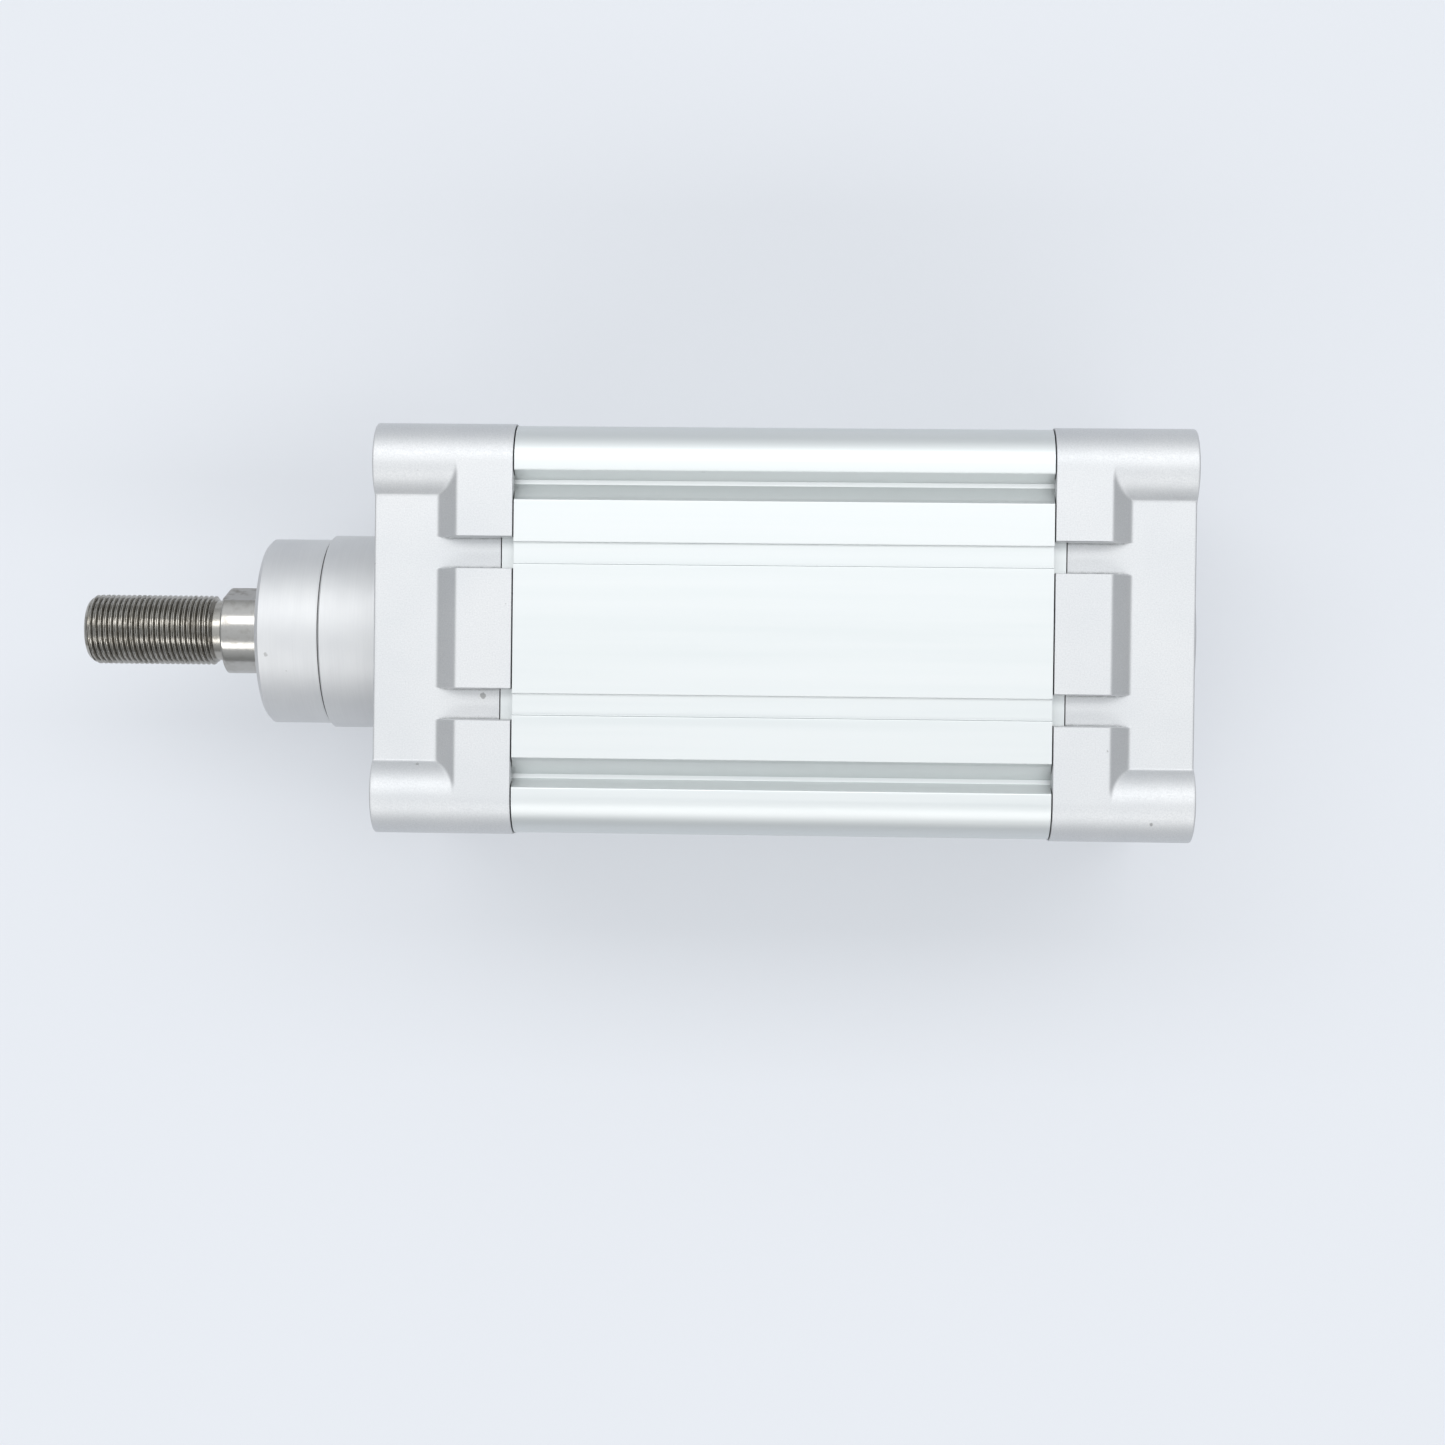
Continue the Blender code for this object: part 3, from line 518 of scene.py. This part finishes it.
def side_level(depth, across):
    """A recessed side's distance from the axis, at this depth and this far across from the middle."""
    away = abs(across)
    slope = (HALF - RECESS_LEVEL) / (PAD_DEPTH - RECESS_DEPTH)
    ramp = RECESS_LEVEL + (depth - RECESS_DEPTH) * slope
    level = soft_min(soft_max(ramp, RECESS_LEVEL, 0.5), HALF, 0.5)
    corner_cut = 1.0 - min(max((PAD_DEPTH - depth) / (PAD_DEPTH - RECESS_DEPTH), 0.0), 1.0)
    inset = 0.2 * (1.0 - corner_cut) ** 2
    in_channel = wall(away - CHANNEL_INNER + inset) * wall(CHANNEL_OUTER - away + inset)
    level += (RECESS_LEVEL - level) * in_channel
    foot = SCREW_OFFSET - CORNER_RADIUS
    if away > foot:
        post = SCREW_OFFSET + math.sqrt(max(CORNER_RADIUS**2 - (SCREW_OFFSET - away) ** 2, 0.0))
        level = soft_max(level, post, 0.6)
    return min(level, HALF)


def cap_rows():
    """Depths of the rows of points down a cap's side, close together where the surface turns."""
    rows = [0.0, 0.08, 0.2, 0.38, 0.6, 1.0, 4.0, 8.0, 12.0, 15.0]
    rows += list(np.linspace(16.2, 18.4, 12))
    rows += list(np.linspace(18.8, 21.4, 8))
    rows += list(np.linspace(21.6, 23.4, 12))
    rows += [25.0, 28.0, 31.0, 34.0, 36.4, 37.0, 37.25, 37.4, CAP_LENGTH]
    return rows


def side_columns():
    """How far from the middle the columns of points on a recessed side are, from one corner to the other."""
    half = list(np.linspace(SCREW_OFFSET, 37.0, 16)) + list(np.linspace(36.6, 34.6, 8)) + [33.0, 30.0, 27.0]
    for edge in (CHANNEL_OUTER, CHANNEL_INNER):
        half += [edge + step for step in (1.6, 1.2, 0.9, 0.6, 0.35, 0.22, 0.12, 0.04)]
        half += [edge - step for step in (0.04, 0.12, 0.22, 0.35, 0.6, 1.2)]
        half += [edge - 2.2]
    half += [10.0, 5.0]
    half = sorted(set(round(value, 4) for value in half), reverse=True)
    return half + [0.0] + [-value for value in reversed(half)]


def cap_skin(name, to_x):
    """The outside of a cap's square part: corner posts, recesses, slopes, pads and channels."""
    rows = cap_rows()
    edge = 0.6
    back_edge = 0.25
    bm = bmesh.new()
    grid = []
    for depth in rows:
        ring = []
        for turn in range(4):
            ring += [rotated(p, turn) for p in arc(SCREW_OFFSET, SCREW_OFFSET, CORNER_RADIUS, 0, 90, 20)[:-1]]
            if turn in RECESSED_SIDES:
                line = [(a, side_level(depth, a)) for a in side_columns()]
            else:
                line = [(a, HALF) for a in np.linspace(SCREW_OFFSET, -SCREW_OFFSET, 30)]
            ring += [rotated(p, turn) for p in line[:-1]]
        inset = 0.0
        if depth < edge:
            inset = edge - math.sqrt(edge**2 - (edge - depth) ** 2)
        beyond = depth - (CAP_LENGTH - back_edge)
        if beyond > 0:
            inset = back_edge - math.sqrt(max(back_edge**2 - beyond**2, 0.0))
        scale = 1.0 - inset / HALF
        grid.append([bm.verts.new((to_x(depth), y * scale, z * scale)) for y, z in ring])
    count = len(grid[0])
    for here, there in zip(grid, grid[1:]):
        for i in range(count):
            j = (i + 1) % count
            bm.faces.new((here[i], here[j], there[j], there[i]))
    bm.faces.new(grid[0])
    bm.faces.new(list(reversed(grid[-1])))
    return link(name, bm)


def plug_outline():
    """The part of a core's outline inside the barrel, as (depth, radius) from its outside to its chamber."""
    groove_near, groove_far, groove_radius = O_RING_GROOVE
    seal_near, seal_far, seal_radius = CUSHION_GROOVE
    return [
        (SKIRT_START - 2, COLLAR_DIAMETER / 2),
        (SKIRT_START - 2, PLUG_RADIUS),
        (groove_near, PLUG_RADIUS, 0.2),
        (groove_near, groove_radius),
        (groove_far, groove_radius),
        (groove_far, PLUG_RADIUS, 0.2),
        (PLUG_DEPTH, PLUG_RADIUS, 0.8),
        (PLUG_DEPTH, CUSHION_CHAMBER_RADIUS, 0.5),
        (seal_far, CUSHION_CHAMBER_RADIUS),
        (seal_far, seal_radius),
        (seal_near, seal_radius),
        (seal_near, CUSHION_CHAMBER_RADIUS),
        (CUSHION_CHAMBER_DEPTH, CUSHION_CHAMBER_RADIUS),
    ]


def threaded_tool(name, start, end, major, minor, pitch, segments=SMALL_TURN, per_turn=10):
    """A bar along +X with a thread on it, to cut a threaded hole."""
    depth = major - minor

    def radius(x, angle):
        phase = (x / pitch - angle / math.tau) % 1.0
        return minor + depth * min(max(1.25 - abs(phase - 0.5) * 3.2, 0.0), 1.0)

    length = end - start
    count = max(int(length / pitch * per_turn), 2)
    rows = [(start + length * i / count, radius) for i in range(count + 1)]
    return shaped_bar(name, rows, [math.tau * k / segments for k in range(segments)])


def shaped_bar(name, rows, angles):
    """A closed bar along X. A row is (x, radius), where the radius may be a function of (x, angle)."""
    bm = bmesh.new()
    grid = []
    for x, radius in rows:
        ring = []
        for angle in angles:
            r = radius(x, angle) if callable(radius) else radius
            ring.append(bm.verts.new((x, r * math.cos(angle), r * math.sin(angle))))
        grid.append(ring)
    count = len(angles)
    for here, there in zip(grid, grid[1:]):
        for i in range(count):
            j = (i + 1) % count
            bm.faces.new((here[i], here[j], there[j], there[i]))
    for ring, x in ((grid[0], rows[0][0]), (grid[-1], rows[-1][0])):
        centre = bm.verts.new((x, 0, 0))
        for i in range(count):
            bm.faces.new((centre, ring[i], ring[(i + 1) % count]))
    return link(name, bm)


def drill_cap(cap, to_x):
    """The screw holes, the threaded port and the seat of the cushion screw."""
    floor = HEAD_SUNK + HEAD_LENGTH + 0.3
    hole = [
        (-1.0, 0.0),
        (-1.0, HEAD_RADIUS + 1.3),
        (0.7, HEAD_RADIUS + 0.3),
        (floor, HEAD_RADIUS + 0.3),
        (floor, SCREW_HOLE_RADIUS),
        (SKIRT_START + 2, SCREW_HOLE_RADIUS),
        (SKIRT_START + 2, 0.0),
    ]
    placed_hole = [(to_x(u), r) for u, r in hole]
    cut(cap, *[at_corner(turned("hole", placed_hole, 64), y, z) for y, z in corner_positions()])
    mouth = [
        (1.0, 0.0),
        (1.0, PORT_RADIUS + 3.2),
        (-0.5, PORT_RADIUS + 2.4, 0.3),
        (-0.5, PORT_RADIUS + 1.5),
        (-2.0, PORT_RADIUS - 0.1),
        (-16.0, PORT_RADIUS - 0.1),
        (-18.0, 6.0),
        (-45.0, 6.0),
        (-45.0, 0.0),
    ]
    needle_bore = [
        (1.0, 0.0),
        (1.0, 6.2),
        (-0.9, 4.8),
        (-19.8, 4.8),
        (-19.8, 0.0),
    ]
    thread = threaded_tool("port_thread", -15.0, 0.5, PORT_RADIUS + 0.9, PORT_RADIUS - 0.2, 1.81, 64)
    cut(
        cap,
        towards_port(turned("mouth", rounded(mouth), 96), to_x(PORT_DEPTH), PORT_OFFSET),
        towards_port(thread, to_x(PORT_DEPTH), PORT_OFFSET),
        towards_port(turned("needle_bore", needle_bore, SMALL_TURN), to_x(PORT_DEPTH), CUSHION_SCREW_OFFSET),
    )
    return cap


def finish_cap(cap, core, to_x, node):
    """Gives a cap's skin its pocket, its core and its holes."""
    skirt = rounded_square(SKIRT_HALF, SKIRT_HALF - SCREW_OFFSET)
    end = SKIRT_START + 1
    hole = [(-1.0, 0.0), (-1.0, CORE_HOLE_RADIUS), (end, CORE_HOLE_RADIUS), (end, 0.0)]
    cut(
        cap,
        prism("skirt_pocket", skirt, to_x(SKIRT_START), to_x(CAP_LENGTH + 1)),
        turned("core_hole", [(to_x(u), r) for u, r in hole], SMOOTH_TURN),
    )
    join(cap, core)
    drill_cap(cap, to_x)
    dress(cap, "cylinder", "cast_aluminium", node, CAST, MACHINED)
    outwards = -1 if to_x(1.0) > to_x(0.0) else 1
    for polygon in cap.data.polygons:
        x, y, z = from_front_face(polygon.center)
        proud = (x - to_x(0.0)) * outwards > PROUD_OF_FACE
        bored = PORT_WALL_OUTER < y < PORT_WALL_INNER and math.hypot(y, z) < PORT_WALL_RADIUS
        upright = abs(polygon.normal.y) < 0.95
        if proud or (bored and upright and near_port(x - to_x(PORT_DEPTH), z)):
            polygon.material_index = 1
    return cap


def from_front_face(point):
    """A place in metres as millimetres from the axis at the front cap's face."""
    return (point.x - FRONT_FACE_X) / MM, point.y / MM, (point.z - AXIS_HEIGHT) / MM


def near_port(from_port_x, z):
    """Whether a place on the port's side is over the port or the cushion screw's bore."""
    in_port = math.hypot(from_port_x, z - PORT_OFFSET) < 13.0
    return in_port or math.hypot(from_port_x, z - CUSHION_SCREW_OFFSET) < 6.5


def front_to_x(depth):
    return depth


def rear_to_x(depth):
    return CAPS_APART - depth


def build_front_cap():
    nose, full = COLLAR_NOSE_DIAMETER / 2, COLLAR_DIAMETER / 2
    outline = [
        (-COLLAR_LENGTH, WIPER_SEAT_RADIUS, 0.3),
        (-COLLAR_LENGTH, nose - 1.1, 0.25),
        (-COLLAR_LENGTH + 1.1, nose, 0.25),
        (-COLLAR_STEP - 0.45, nose, 0.08),
        (-COLLAR_STEP - 0.45, nose - 0.35),
        (-COLLAR_STEP, nose - 0.35),
        (-COLLAR_STEP, full - 0.35, 0.1),
        (-COLLAR_STEP + 0.35, full, 0.1),
    ]
    outline += plug_outline()
    outline += [
        (CUSHION_CHAMBER_DEPTH, BUSH_SEAT_RADIUS),
        (-25.0, BUSH_SEAT_RADIUS),
        (-25.0, 13.4),
        (-30.0, 13.4),
        (-30.0, WIPER_SEAT_RADIUS),
    ]
    core = turned("core", rounded(outline))
    return finish_cap(cap_skin("front_cap_casting", front_to_x), core, front_to_x, "front_cap")


def build_rear_cap():
    full = COLLAR_DIAMETER / 2
    outline = [
        (-REAR_PILOT_LENGTH + 0.8, 0.0),
        (-REAR_PILOT_LENGTH + 0.8, 11.0, 0.3),
        (-REAR_PILOT_LENGTH, 12.2, 0.3),
        (-REAR_PILOT_LENGTH, full - 0.8, 0.25),
        (-REAR_PILOT_LENGTH + 0.8, full, 0.25),
    ]
    outline += plug_outline()
    outline += [(CUSHION_CHAMBER_DEPTH, 0.0)]
    core = turned("core", [(rear_to_x(u), r) for u, r in rounded(outline)])
    return finish_cap(cap_skin("rear_cap_casting", rear_to_x), core, rear_to_x, "rear_cap")


# ---------------------------------------------------------------- barrel

def barrel_outline():
    """The extrusion's section with rounded lips: on each side two V grooves and two shallow channels."""
    top = BARREL_HALF
    half_side = [
        (41.97, top, 0.55),
        (41.2, top - 1.9, 0.3),
        (39.75, top - 5.5, 0.25),
        (38.55, top - 5.5, 0.25),
        (34.9, top - 1.2, 0.3),
        (34.1, top, 0.45),
        (22.9, top, 0.3),
        (22.9, top - 1.0, 0.25),
        (17.2, top - 1.0, 0.25),
        (17.2, top, 0.3),
    ]
    side = half_side + [(-y, *rest) for y, *rest in reversed(half_side)]
    radius = BARREL_HALF - SCREW_OFFSET
    points = []
    for turn in range(4):
        corner = arc(SCREW_OFFSET, SCREW_OFFSET, radius, 0, 90, 20)
        points += [rotated(p, turn) for p in corner]
        for y, z, *rest in side:
            points.append((*rotated((y, z), turn), *rest))
    return rounded(points, 3)


def step_cutter(start, end):
    """A frame that takes the barrel's outside away down to the step, and to the cap's channels."""
    made = prism("frame", rounded_square(HALF + 5, 5), start, end)
    cut(made, prism("step", rounded_square(STEP_HALF, STEP_HALF - SCREW_OFFSET), start - 1, end + 1))
    inner, outer, level = CHANNEL_INNER - 0.1, CHANNEL_OUTER + 0.1, RECESS_LEVEL - 0.1
    outline = [(inner, level), (outer, level), (outer, HALF), (inner, HALF)]
    blocks = []
    for quarter_turns in RECESSED_SIDES:
        for side in (1, -1):
            placed = [rotated((side * y, z), quarter_turns) for y, z in outline]
            blocks.append(prism("channel", placed, start, end))
    return join(made, *blocks)


def build_barrel():
    tube = prism("barrel_profile", barrel_outline(), BARREL_START, CAPS_APART - BARREL_START)
    for start in (BARREL_START - 1, CAPS_APART - SHOULDER_DEPTH):
        cut(tube, step_cutter(start, start + SHOULDER_DEPTH - BARREL_START + 1))
    through = [(0.0, 0.0), (0.0, 1.0), (CAPS_APART, 1.0), (CAPS_APART, 0.0)]
    tools = [turned("bore", [(x, r * BORE / 2) for x, r in through])]
    for y, z in corner_positions():
        tool = turned("channel", [(x, r * SCREW_HOLE_RADIUS) for x, r in through], 32)
        tools.append(at_corner(tool, y, z))
    cut(tube, *tools)
    return dress(tube, "cylinder", "anodised_aluminium", "barrel", ANODISED)


# ---------------------------------------------------------------- screws

def build_corner_screw(node, y, z, to_x):
    """A screw whose head is threaded inside, with a hexagon socket at the bottom of that thread."""
    head_end = HEAD_SUNK + HEAD_LENGTH
    thread_end = HEAD_SUNK + MOUNTING_THREAD_DEPTH
    outline = [
        (HEAD_SUNK, 0.0),
        (HEAD_SUNK, HEAD_RADIUS, 0.5),
        (head_end, HEAD_RADIUS, 0.3),
        (head_end, SHANK_RADIUS, 0.3),
        (SHANK_END, SHANK_RADIUS, 0.9),
        (SHANK_END, 0.0),
    ]
    screw = turned(f"{node}_steel", [(to_x(u), r) for u, r in rounded(outline)], SMALL_TURN)
    mouth = [
        (HEAD_SUNK - 1.0, 0.0),
        (HEAD_SUNK - 1.0, MOUNTING_THREAD_RADIUS + 2.0),
        (HEAD_SUNK + 1.0, MOUNTING_THREAD_RADIUS),
        (HEAD_SUNK + 1.0, 0.0),
    ]
    radius = MOUNTING_THREAD_RADIUS
    thread = threaded_tool("thread", -thread_end, -HEAD_SUNK + 0.2, radius + 0.65, radius, 1.5, 40, 8)
    if to_x(1.0) > to_x(0.0):
        place(thread, Matrix.Rotation(math.pi, 4, "Z"))
    else:
        place(thread, Matrix.Translation((CAPS_APART, 0, 0)))
    hexagon = arc(0, 0, SOCKET_ACROSS / math.sqrt(3), 0, 300, 5)
    socket = prism("socket", hexagon, to_x(thread_end - 1), to_x(thread_end + 5))
    cut(screw, turned("mouth", [(to_x(u), r) for u, r in mouth], SMALL_TURN), thread, socket)
    at_corner(screw, y, z)
    return dress(screw, "cylinder", "zinc_plated_steel", node, ZINC)


def build_cushion_screw(end_name, to_x):
    """A slotted throttle screw on the port side."""
    outline = [
        (-1.4, 0.0),
        (-1.4, 4.5, 0.45),
        (-8.8, 4.5, 0.2),
        (-8.8, 3.0, 0.1),
        (-11.2, 3.0, 0.1),
        (-11.2, 4.5, 0.2),
        (-15.6, 4.5, 0.2),
        (-16.4, 1.2, 0.1),
        (-17.4, 1.2, 0.1),
        (-18.4, 0.4),
        (-18.4, 0.0),
    ]
    node = f"{end_name}_cushion_screw"
    screw = turned(f"{node}_steel", rounded(outline), SMALL_TURN)
    slot = [(-0.6, -6.0), (0.6, -6.0), (0.6, 6.0), (-0.6, 6.0)]
    cut(screw, prism("slot", slot, -3.0, 0.0))
    towards_port(screw, to_x(PORT_DEPTH), CUSHION_SCREW_OFFSET)
    return dress(screw, f"{end_name}_adjuster", "zinc_plated_steel", node, ZINC)


# ---------------------------------------------------------------- rod and wiper

def build_rod():
    """The rod: threaded end, relief neck, shoulder with spanner flats, and the tail inside the piston."""
    tip = ROD_TIP
    shoulder = -ROD_SHOULDER_AHEAD
    relief_start = shoulder - 3.0
    flats_end = -COLLAR_LENGTH - 0.5
    flats_angle = math.radians(ROD_FLATS_ANGLE)
    half_flats = ROD_FLATS_ACROSS / 2

    def envelope(x):
        from_tip = x - tip
        start = min(8.5 + from_tip * 0.72, 20.0)
        if from_tip < 0.3:
            start = 8.3 + from_tip * 1.3
        end = ROD_NECK_RADIUS + max(relief_start - x, 0.0) * 1.5
        return min(start, end)

    def thread(x, angle):
        phase = (x / ROD_THREAD_PITCH - angle / math.tau) % 1.0
        off_crest = abs(phase - 0.5) * ROD_THREAD_PITCH
        share = min(max((0.56 - off_crest) / 0.45, 0.0), 1.0)
        share = share + 0.10 * math.sin(math.tau * share) / math.tau
        flank = ROD_THREAD_MINOR + (ROD_THREAD_MAJOR - ROD_THREAD_MINOR) * share
        return max(min(envelope(x), flank), 8.3)

    def flatted(x, angle):
        toward = abs(math.cos(angle - flats_angle))
        return min(ROD_RADIUS, half_flats / max(toward, 0.05))

    rows = [(tip + 0.5, 1.0), (tip + 0.15, 2.9), (tip, 3.3), (tip, 6.0)]
    steps = int((relief_start - tip) / ROD_THREAD_PITCH * 16)
    rows += [(tip + (relief_start - tip) * i / steps, thread) for i in range(steps + 1)]
    rows += [(relief_start + 0.05, ROD_NECK_RADIUS)]
    rows += [(shoulder - 0.25, ROD_NECK_RADIUS), (shoulder, ROD_NECK_RADIUS + 0.25)]
    for u, drop in ((0.0, 0.5), (0.08, 0.28), (0.2, 0.12), (0.5, 0.0)):
        rows.append((shoulder + u, lambda x, a, drop=drop: min(flatted(x, a), ROD_RADIUS - drop)))
    rows += [(shoulder + u, flatted) for u in (1.0, 4.0, 8.0, 12.0)]
    rows += [(flats_end, flatted), (flats_end, ROD_RADIUS), (flats_end + 0.4, ROD_RADIUS)]
    rows += [(PISTON_STEP, ROD_RADIUS), (PISTON_STEP, ROD_TAIL_RADIUS)]
    rows += [(ROD_END - 1.0, ROD_TAIL_RADIUS), (ROD_END, ROD_TAIL_RADIUS - 1.0)]
    edge = math.acos(half_flats / ROD_RADIUS)
    angles = {round(math.tau * k / SMOOTH_TURN, 6) for k in range(SMOOTH_TURN)}
    for middle in (flats_angle, flats_angle + math.pi):
        for side in (edge - 0.004, edge + 0.004, -edge - 0.004, -edge + 0.004):
            angles.add(round((middle + side) % math.tau, 6))
    rod = shaped_bar("piston_rod_steel", rows, sorted(angles))
    dress(rod, "rod", "chromed_steel", "piston_rod", ROD_STEEL, THREAD_STEEL, FLAT_STEEL)
    for polygon in rod.data.polygons:
        x, y, z = from_front_face(polygon.center)
        if x < shoulder - 0.2:
            polygon.material_index = 1
        elif x < flats_end and half_flats - 0.2 < math.hypot(y, z) < ROD_RADIUS - 0.02:
            toward_flat = abs(math.cos(math.atan2(z, y) - flats_angle))
            if len(polygon.vertices) == 4 and toward_flat > half_flats / ROD_RADIUS:
                polygon.material_index = 2
    return rod


def build_wiper():
    inner = ROD_RADIUS + 0.3
    outline = [
        (-30.3, 13.2),
        (-30.3, 18.0, 0.3),
        (-COLLAR_LENGTH + 0.6, 18.0, 0.4),
        (-COLLAR_LENGTH + 0.6, 16.6, 0.4),
        (-COLLAR_LENGTH - 1.2, 13.6, 0.2),
        (-COLLAR_LENGTH - 1.2, inner, 0.1),
        (-COLLAR_LENGTH + 1.4, 13.7, 0.4),
        (-34.5, 13.7, 0.4),
        (-32.5, inner, 0.2),
    ]
    wiper = turned("rod_wiper_lip", rounded(outline), 96)
    return dress(wiper, "cylinder", "polyurethane", "rod_wiper_seal", SEAL)


# ---------------------------------------------------------------- the pieces

build_front_cap()
build_rear_cap()
build_barrel()
build_rod()
build_wiper()
for end, place_x in (("front", front_to_x), ("rear", rear_to_x)):
    for number, (corner_y, corner_z) in enumerate(corner_positions(), start=1):
        build_corner_screw(f"{end}_cap_screw_{number}", corner_y, corner_z, place_x)
    build_cushion_screw(end, place_x)

KEPT_NODES = {
    "rod_bearing_bush": BRONZE,
    "front_cushion_seal": SEAL,
    "rear_cushion_seal": SEAL,
    "front_barrel_o_ring": RUBBER,
    "rear_barrel_o_ring": RUBBER,
    "front_cushion_screw_o_ring": RUBBER,
    "rear_cushion_screw_o_ring": RUBBER,
    "piston_seal_front": SEAL,
    "piston_seal_rear": SEAL,
    "piston_guide_ring": ACETAL,
    "piston_front_disc": MACHINED,
    "piston_rear_disc": MACHINED,
    "piston_magnet": FERRITE,
    "piston_rod_o_ring": RUBBER,
    "front_cushion_sleeve": MACHINED,
    "rear_cushion_nut": ZINC,
}
for node_name, look in KEPT_NODES.items():
    kept = frame["nodes"][node_name]
    kept.data.materials.clear()
    kept.data.materials.append(look)


# ---------------------------------------------------------------- floor, light, camera

# The sky's brightness overhead, and its share of that towards the ends, the -Y side and the horizon.
WORLD_LEVEL = 1.10
WORLD_ENDS = 0.52
WORLD_LOW_SIDE = 0.68
WORLD_HORIZON = 0.5
WORLD_COLOUR = (0.93, 0.965, 1.0, 1.0)

FLOOR_HALF = 3.0
FLOOR_GLOW = 0.345

# Soft boxes, in metres.
LIGHT_HEIGHT = 1.3
LIGHT_LENGTH = 2.6
LIGHT_COLOUR = (1.0, 0.99, 0.975)

CAMERA_LENS = 58.58
CAMERA_PLACE = (0.0501, -0.0163, 0.7290)
CAMERA_TURN = (-0.0124, 0.0356, 0.0114)


def build_floor():
    bm = bmesh.new()
    bmesh.ops.create_grid(bm, x_segments=8, y_segments=8, size=FLOOR_HALF)
    floor = link("studio_floor", bm)
    m = Material("pale_floor", 0.0, 0.8)
    m.shader.inputs["Emission Strength"].default_value = FLOOR_GLOW
    m.shader.inputs["Emission Color"].default_value = rgb(0.92, 0.955, 1.0)
    m.shader.inputs["Specular IOR Level"].default_value = 0.1
    clouds = m.spread(m.noise(3.0, 2.0), 0.3, 0.7)
    m.colour(m.mix(clouds, rgb(0.385, 0.396, 0.42), rgb(0.395, 0.406, 0.43)))
    floor.data.materials.append(m.done())


def build_world():
    """An even pale sky, dimmer towards the horizon, the part's ends and the -Y side."""
    world = bpy.data.worlds.new("studio")
    world.use_nodes = True
    tree = world.node_tree
    background = tree.nodes["Background"]
    direction = tree.nodes.new("ShaderNodeTexCoord").outputs["Generated"]
    split = tree.nodes.new("ShaderNodeSeparateXYZ")
    tree.links.new(direction, split.inputs["Vector"])

    def to_range(value, low, high, to_low, to_high):
        made = tree.nodes.new("ShaderNodeMapRange")
        made.interpolation_type = "SMOOTHSTEP"
        tree.links.new(value, made.inputs["Value"])
        for key, amount in (("From Min", low), ("From Max", high), ("To Min", to_low), ("To Max", to_high)):
            made.inputs[key].default_value = amount
        return made.outputs["Result"]

    def times(a, b):
        made = tree.nodes.new("ShaderNodeMath")
        made.operation = "MULTIPLY"
        tree.links.new(a, made.inputs[0])
        tree.links.new(b, made.inputs[1])
        return made.outputs["Value"]

    absolute = tree.nodes.new("ShaderNodeMath")
    absolute.operation = "ABSOLUTE"
    tree.links.new(split.outputs["X"], absolute.inputs[0])
    along = to_range(absolute.outputs["Value"], 0.3, 1.0, WORLD_LEVEL, WORLD_LEVEL * WORLD_ENDS)
    across = to_range(split.outputs["Y"], -0.9, 0.6, WORLD_LOW_SIDE, 1.0)
    upwards = to_range(split.outputs["Z"], 0.0, 0.6, WORLD_HORIZON, 1.0)
    tree.links.new(times(times(along, across), upwards), background.inputs["Strength"])
    background.inputs["Color"].default_value = WORLD_COLOUR
    bpy.context.scene.world = world


def area_light(name, lean, width, power):
    """A long soft box over the part, along X, leaning this many degrees towards +Y from overhead."""
    data = bpy.data.lights.new(name, "AREA")
    data.shape = "RECTANGLE"
    data.size = LIGHT_LENGTH
    data.size_y = width
    data.energy = power
    data.color = LIGHT_COLOUR
    light = bpy.data.objects.new(name, data)
    bpy.context.scene.collection.objects.link(light)
    tilt = math.radians(lean)
    above_axis = LIGHT_HEIGHT * math.cos(tilt)
    light.location = (0.0, LIGHT_HEIGHT * math.sin(tilt), AXIS_HEIGHT + above_axis)
    light.rotation_euler = (-tilt, 0.0, 0.0)


def build_camera():
    """Overhead, looking down at the part with a slight tilt."""
    data = bpy.data.cameras.new("camera")
    data.sensor_width = 36.0
    data.lens = CAMERA_LENS
    data.clip_start = 0.01
    camera = bpy.data.objects.new("camera", data)
    bpy.context.scene.collection.objects.link(camera)
    camera.location = CAMERA_PLACE
    camera.rotation_euler = CAMERA_TURN
    bpy.context.scene.camera = camera
    bpy.context.scene.view_settings.view_transform = "Standard"


build_floor()
build_world()
area_light("upper_strip", lean=26.0, width=0.46, power=9.6)
area_light("lower_strip", lean=-42.0, width=0.36, power=7.8)
build_camera()


def corners(box):
    return [[float(value) for value in corner] for corner in box]
